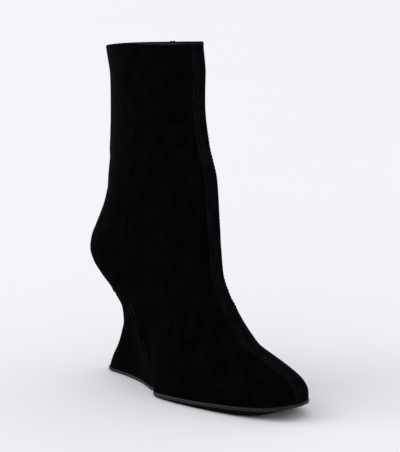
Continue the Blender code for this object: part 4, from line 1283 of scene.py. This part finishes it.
def black_suede(name, patch, dark="#020202", light="#080809"):
    """Calf suede dyed black: the split hide is buffed and brushed to a short nap. The nap
    swallows light and has no gloss. It looks lighter in patches and strokes where it lies
    another way, and greys a little where it is seen edge on."""
    material, tree, place = start_material(name)
    combed = add(tree, "ShaderNodeMapping", {"Vector": place, "Scale": (1.0, 1.0, 0.62)})
    patches = add(tree, "ShaderNodeTexNoise", {
        "Vector": combed, "Scale": per(patch), "Detail": 3.0, "Roughness": 0.55,
        "Distortion": 0.25})
    strokes = add(tree, "ShaderNodeTexNoise", {
        "Vector": combed, "Scale": per(3.0), "Detail": 4.0, "Roughness": 0.65})
    # Nap fibres are under 0.1 mm thick; they are drawn 0.6 mm wide so that they show
    fibres = add(tree, "ShaderNodeTexNoise", {
        "Vector": combed, "Scale": per(0.6), "Detail": 3.0, "Roughness": 0.7})
    lay = add(tree, "ShaderNodeMapRange", {"Value": patches, "From Min": 0.36,
                                           "From Max": 0.66, "To Max": 0.5})
    tone = add(tree, "ShaderNodeMath", {0: strokes, 1: 0.6, 2: lay}, operation="MULTIPLY_ADD")
    tone = add(tree, "ShaderNodeMath", {0: fibres, 1: 0.4, 2: tone}, operation="MULTIPLY_ADD")
    share = add(tree, "ShaderNodeMapRange", {"Value": tone, "From Min": 0.45,
                                             "From Max": 1.15})
    colour = add(tree, "ShaderNodeMix", {SHARE: share, DARK: linear(dark),
                                         LIGHT: linear(light)}, data_type="RGBA")
    soft = add(tree, "ShaderNodeBump", {"Height": patches, "Distance": 0.6 * MM,
                                        "Strength": 0.5})
    brushed = add(tree, "ShaderNodeBump", {"Height": strokes, "Distance": 0.3 * MM,
                                           "Strength": 0.6, "Normal": soft})
    nap = add(tree, "ShaderNodeBump", {"Height": fibres, "Distance": 0.16 * MM,
                                       "Strength": 0.8, "Normal": brushed})
    finish_material(tree, {
        "Base Color": colour.outputs[MIXED], "Roughness": 0.96, "Specular IOR Level": 0.006,
        "Sheen Weight": 0.13, "Sheen Roughness": 0.40, "Sheen Tint": linear("#434349"),
        "Normal": nap})
    return material


def sewing_thread():
    """Bonded nylon thread, dyed black, twisted in three plies: a faint gloss that breaks up
    along the twist."""
    material, tree, place = start_material("black_sewing_thread")
    # The plies lie about 0.7 mm apart; they are drawn at 2 mm so that they show
    twist = add(tree, "ShaderNodeTexWave", {
        "Vector": place, "Scale": bands(2.0735), "Distortion": 1.0, "Detail": 1.0},
        bands_direction="DIAGONAL").outputs["Fac"]
    colour = add(tree, "ShaderNodeMix", {SHARE: twist, DARK: linear("#08080a"),
                                         LIGHT: linear("#131316")}, data_type="RGBA")
    ply = add(tree, "ShaderNodeBump", {"Height": twist, "Distance": 0.05 * MM,
                                       "Strength": 0.6})
    finish_material(tree, {"Base Color": colour.outputs[MIXED], "Roughness": 0.6,
                           "Specular IOR Level": 0.06, "Normal": ply})
    return material


def moulded_rubber():
    """Black sole rubber, pressed in a mould and buffed at its edge: nearly black in itself,
    with a low gloss that draws a grey line where its lip turns up to the light."""
    material, tree, place = start_material("moulded_sole_rubber")
    bloom = add(tree, "ShaderNodeTexNoise", {"Vector": place, "Scale": per(14.0),
                                             "Detail": 3.0})
    lengthwise = add(tree, "ShaderNodeMapping", {"Vector": place, "Scale": (0.3, 0.3, 1.6)})
    scuffs = add(tree, "ShaderNodeTexNoise", {"Vector": lengthwise, "Scale": per(1.4),
                                              "Detail": 4.0, "Roughness": 0.7})
    # The mould's grit is about 0.1 mm; it is drawn at 0.5 mm so that it shows
    grit = add(tree, "ShaderNodeTexNoise", {"Vector": place, "Scale": per(0.5),
                                            "Detail": 2.0, "Roughness": 0.6})
    tone = add(tree, "ShaderNodeMath", {0: bloom, 1: scuffs}, operation="ADD")
    share = add(tree, "ShaderNodeMapRange", {"Value": tone, "From Min": 0.75,
                                             "From Max": 1.25})
    colour = add(tree, "ShaderNodeMix", {SHARE: share, DARK: linear("#070709"),
                                         LIGHT: linear("#101013")}, data_type="RGBA")
    rough = add(tree, "ShaderNodeMapRange", {"Value": scuffs, "From Min": 0.3,
                                             "From Max": 0.7, "To Min": 0.38, "To Max": 0.5})
    scuffed = add(tree, "ShaderNodeBump", {"Height": scuffs, "Distance": 0.06 * MM,
                                           "Strength": 0.5})
    gritty = add(tree, "ShaderNodeBump", {"Height": grit, "Distance": 0.05 * MM,
                                          "Strength": 0.6, "Normal": scuffed})
    finish_material(tree, {"Base Color": colour.outputs[MIXED], "Roughness": rough,
                           "Specular IOR Level": 0.24, "Normal": gritty})
    return material


def tread_rubber():
    """The same rubber on the tread, left as it came from the blasted mould: dead matt."""
    material, tree, place = start_material("matt_tread_rubber")
    dust = add(tree, "ShaderNodeTexNoise", {"Vector": place, "Scale": per(6.0),
                                            "Detail": 4.0, "Roughness": 0.6})
    grit = add(tree, "ShaderNodeTexNoise", {"Vector": place, "Scale": per(0.6)})
    colour = add(tree, "ShaderNodeMix", {SHARE: dust, DARK: linear("#050505"),
                                         LIGHT: linear("#0f0f0f")}, data_type="RGBA")
    blasted = add(tree, "ShaderNodeBump", {"Height": grit, "Distance": 0.08 * MM,
                                           "Strength": 0.7})
    finish_material(tree, {"Base Color": colour.outputs[MIXED], "Roughness": 0.95,
                           "Specular IOR Level": 0.02, "Normal": blasted})
    return material


def lining_leather(name, dark, light):
    """Goat lining leather, drum dyed and plated: a fine pebbled grain with a low gloss."""
    material, tree, place = start_material(name)
    cells = add(tree, "ShaderNodeTexVoronoi", {"Vector": place, "Scale": per(1.1)},
                feature="DISTANCE_TO_EDGE")
    pebble = add(tree, "ShaderNodeMapRange", {"Value": cells, "From Min": 0.0,
                                              "From Max": 0.25})
    cloud = add(tree, "ShaderNodeTexNoise", {"Vector": place, "Scale": per(11.0),
                                             "Detail": 3.0})
    share = add(tree, "ShaderNodeMapRange", {"Value": cloud, "From Min": 0.35,
                                             "From Max": 0.65})
    colour = add(tree, "ShaderNodeMix", {SHARE: share, DARK: linear(dark), LIGHT: linear(light)},
                 data_type="RGBA")
    rough = add(tree, "ShaderNodeMapRange", {"Value": cloud, "From Min": 0.3,
                                             "From Max": 0.7, "To Min": 0.46, "To Max": 0.6})
    grain = add(tree, "ShaderNodeBump", {"Height": pebble, "Distance": 0.06 * MM,
                                         "Strength": 0.7})
    finish_material(tree, {"Base Color": colour.outputs[MIXED], "Roughness": rough,
                           "Specular IOR Level": 0.3, "Normal": grain})
    return material


def woven_tape():
    """Polyester zip tape in a herringbone weave: matt, with fine ribs along it."""
    material, tree, place = start_material("woven_zip_tape")
    # The threads lie about 0.4 mm apart; they are drawn at 1.5 to 1.7 mm so that they show
    warp = add(tree, "ShaderNodeTexWave", {
        "Vector": place, "Scale": bands(1.508), "Distortion": 0.6, "Detail": 1.0},
        bands_direction="X")
    weft = add(tree, "ShaderNodeTexWave", {
        "Vector": place, "Scale": bands(1.6965), "Distortion": 0.4, "Detail": 1.0},
        bands_direction="Z")
    weave = add(tree, "ShaderNodeMath", {0: warp.outputs["Fac"], 1: weft.outputs["Fac"]},
                operation="MULTIPLY")
    colour = add(tree, "ShaderNodeMix", {SHARE: weave, DARK: linear("#040405"),
                                         LIGHT: linear("#0c0c0e")}, data_type="RGBA")
    ribbed = add(tree, "ShaderNodeBump", {"Height": weave, "Distance": 0.08 * MM,
                                          "Strength": 0.8})
    finish_material(tree, {"Base Color": colour.outputs[MIXED], "Roughness": 0.85,
                           "Specular IOR Level": 0.03, "Normal": ribbed})
    return material


def nylon_coil():
    """Nylon zip coil, extruded in black and wound: a soft plastic gloss, duller where the
    slider has rubbed it."""
    material, tree, place = start_material("nylon_zip_coil")
    wear = add(tree, "ShaderNodeTexNoise", {"Vector": place, "Scale": per(3.0),
                                            "Detail": 2.0})
    colour = add(tree, "ShaderNodeMix", {SHARE: wear, DARK: linear("#060607"),
                                         LIGHT: linear("#0d0d0f")}, data_type="RGBA")
    rough = add(tree, "ShaderNodeMapRange", {"Value": wear, "From Min": 0.3,
                                             "From Max": 0.7, "To Min": 0.3, "To Max": 0.5})
    rubbed = add(tree, "ShaderNodeBump", {"Height": wear, "Distance": 0.03 * MM,
                                          "Strength": 0.4})
    finish_material(tree, {"Base Color": colour.outputs[MIXED], "Roughness": rough,
                           "Specular IOR Level": 0.14, "Normal": rubbed})
    return material


def black_nickel(name):
    """Zinc casting, tumbled and plated in black nickel: dark and smooth, brighter where it is
    handled."""
    material, tree, place = start_material(name)
    handled = add(tree, "ShaderNodeTexNoise", {"Vector": place, "Scale": per(2.2),
                                               "Detail": 3.0, "Roughness": 0.6})
    drawn = add(tree, "ShaderNodeMapping", {"Vector": place, "Scale": (1.0, 1.0, 0.15)})
    hairlines = add(tree, "ShaderNodeTexNoise", {"Vector": drawn, "Scale": per(0.5),
                                                 "Detail": 2.0})
    share = add(tree, "ShaderNodeMapRange", {"Value": handled, "From Min": 0.4,
                                             "From Max": 0.7})
    colour = add(tree, "ShaderNodeMix", {SHARE: share, DARK: linear("#29292c"),
                                         LIGHT: linear("#3f4044")}, data_type="RGBA")
    rough = add(tree, "ShaderNodeMapRange", {"Value": hairlines, "From Min": 0.3,
                                             "From Max": 0.7, "To Min": 0.22, "To Max": 0.38})
    lines = add(tree, "ShaderNodeBump", {"Height": hairlines, "Distance": 0.02 * MM,
                                         "Strength": 0.3})
    finish_material(tree, {"Base Color": colour.outputs[MIXED], "Metallic": 1.0,
                           "Roughness": rough, "Normal": lines})
    return material


def studio_board():
    """Painted studio board: matt, pale and a touch cool, with the roller's faint unevenness."""
    material, tree, place = start_material("painted_studio_board")
    coat = add(tree, "ShaderNodeTexNoise", {"Vector": place, "Scale": per(400.0)})
    colour = add(tree, "ShaderNodeMix", {SHARE: coat, DARK: linear("#f0f0f2"),
                                         LIGHT: linear("#f2f2f4")}, data_type="RGBA")
    finish_material(tree, {"Base Color": colour.outputs[MIXED], "Roughness": 1.0,
                           "Specular IOR Level": 0.0})
    return material


# ---- Camera, floor and light

def place_camera():
    """Keeps the photograph's standpoint and turns, level, until the boot is in the middle."""
    forward = CAMERA_AIM.normalized()
    right = forward.cross(Vector((0, 0, 1))).normalized()
    above = right.cross(forward)
    aim = (forward * FOCAL_PIXELS + right * (BOOT_MIDDLE[0] - PICTURE_WIDTH / 2)
           - above * (BOOT_MIDDLE[1] - PICTURE_HEIGHT / 2))
    data = bpy.data.cameras.new("camera")
    data.sensor_fit = "HORIZONTAL"
    data.sensor_width = SENSOR
    data.lens = SENSOR * FOCAL_PIXELS / PICTURE_WIDTH
    data.clip_end = 50.0
    camera = bpy.data.objects.new("camera", data)
    camera.location = CAMERA_PLACE
    camera.rotation_euler = aim.to_track_quat("-Z", "Y").to_euler()
    bpy.context.scene.collection.objects.link(camera)
    bpy.context.scene.camera = camera


def place_floor():
    mesh = bpy.data.meshes.new("floor")
    corners = ((-1, -1), (1, -1), (1, 1), (-1, 1))
    mesh.from_pydata([(x * FLOOR_HALF, y * FLOOR_HALF, 0) for x, y in corners],
                     [], [(0, 1, 2, 3)])
    floor = bpy.data.objects.new("floor", mesh)
    bpy.context.scene.collection.objects.link(floor)
    mesh.materials.append(studio_board())


def place_panel():
    data = bpy.data.lights.new("panel", "AREA")
    data.shape = "RECTANGLE"
    data.size = PANEL_SIDE
    data.size_y = PANEL_SIDE
    data.energy = PANEL_POWER
    data.color = linear("#fefeff")[:3]
    panel = bpy.data.objects.new("panel", data)
    panel.location = PANEL_PLACE
    towards = Vector(PANEL_AIM) - Vector(PANEL_PLACE)
    panel.rotation_euler = towards.to_track_quat("-Z", "Y").to_euler()
    bpy.context.scene.collection.objects.link(panel)


def light_scene():
    """Pale light from everywhere, and one large soft panel to the boot's lateral back."""
    world = bpy.data.worlds.new("studio")
    world.use_nodes = True
    background = world.node_tree.nodes["Background"]
    background.inputs["Color"].default_value = linear("#f7f8fb")
    background.inputs["Strength"].default_value = ROOM_LIGHT
    bpy.context.scene.world = world
    place_panel()
    # Plain whites and true blacks, with no film curve over them
    bpy.context.scene.view_settings.view_transform = "Standard"


# ---- Putting the boot together

def cover(piece, *materials):
    if piece.data.materials:
        piece.data.materials.clear()
    for material in materials:
        piece.data.materials.append(material)


place_camera()
place_floor()
light_scene()

suede = black_suede("black_suede", 10.0)
thread = sewing_thread()

upper = make_upper()
cover(upper, suede, lining_leather("black_lining_leather", "#0b0b0b", "#151514"),
      # lighter strip suede, a painted highlight
      black_suede("black_strip_suede_painted_highlight", 7.0, "#040405", "#101012"),
      # lighter folded suede: open nap, and a painted highlight on the folds
      black_suede("black_folded_suede_painted_highlight", 7.0, "#0a0a0b", "#18181b"),
      # lighter rubbed suede for the rim: wear, and a painted highlight
      black_suede("black_rubbed_suede_painted_highlight", 7.0, "#161618", "#2e2e32"))
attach(upper, "boot")
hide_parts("upper")

wedge_cover = make_wedge_cover()
cover(wedge_cover, black_suede("black_wedge_suede", 10.0))
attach(wedge_cover, "boot")
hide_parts("wedge")

sole = make_sole()
cover(sole, moulded_rubber(), tread_rubber())
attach(sole, "boot")
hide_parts("outsole")

sock = make_sock()
cover(sock, lining_leather("black_sock_leather", "#0d0d0c", "#191817"))
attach(sock, "boot")
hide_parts("insole")

sewn = {"strip_stitches": strip_paths(), "zip_stitches": zip_paths()}
for name, paths in sewn.items():
    row = stitches(paths, name)
    cover(row, thread)
    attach(row, "boot")

tape = make_zip_tape()
cover(tape, woven_tape())
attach(tape, "boot")
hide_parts("zip_chain")

coil = make_zip_coil()
cover(coil, nylon_coil())
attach(coil, "boot")

for node in ("zip_slider", "zip_pull"):
    cover(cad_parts[node], black_nickel("black_nickel_" + node))


def plain(box):
    return [[float(v) for v in corner] for corner in box]
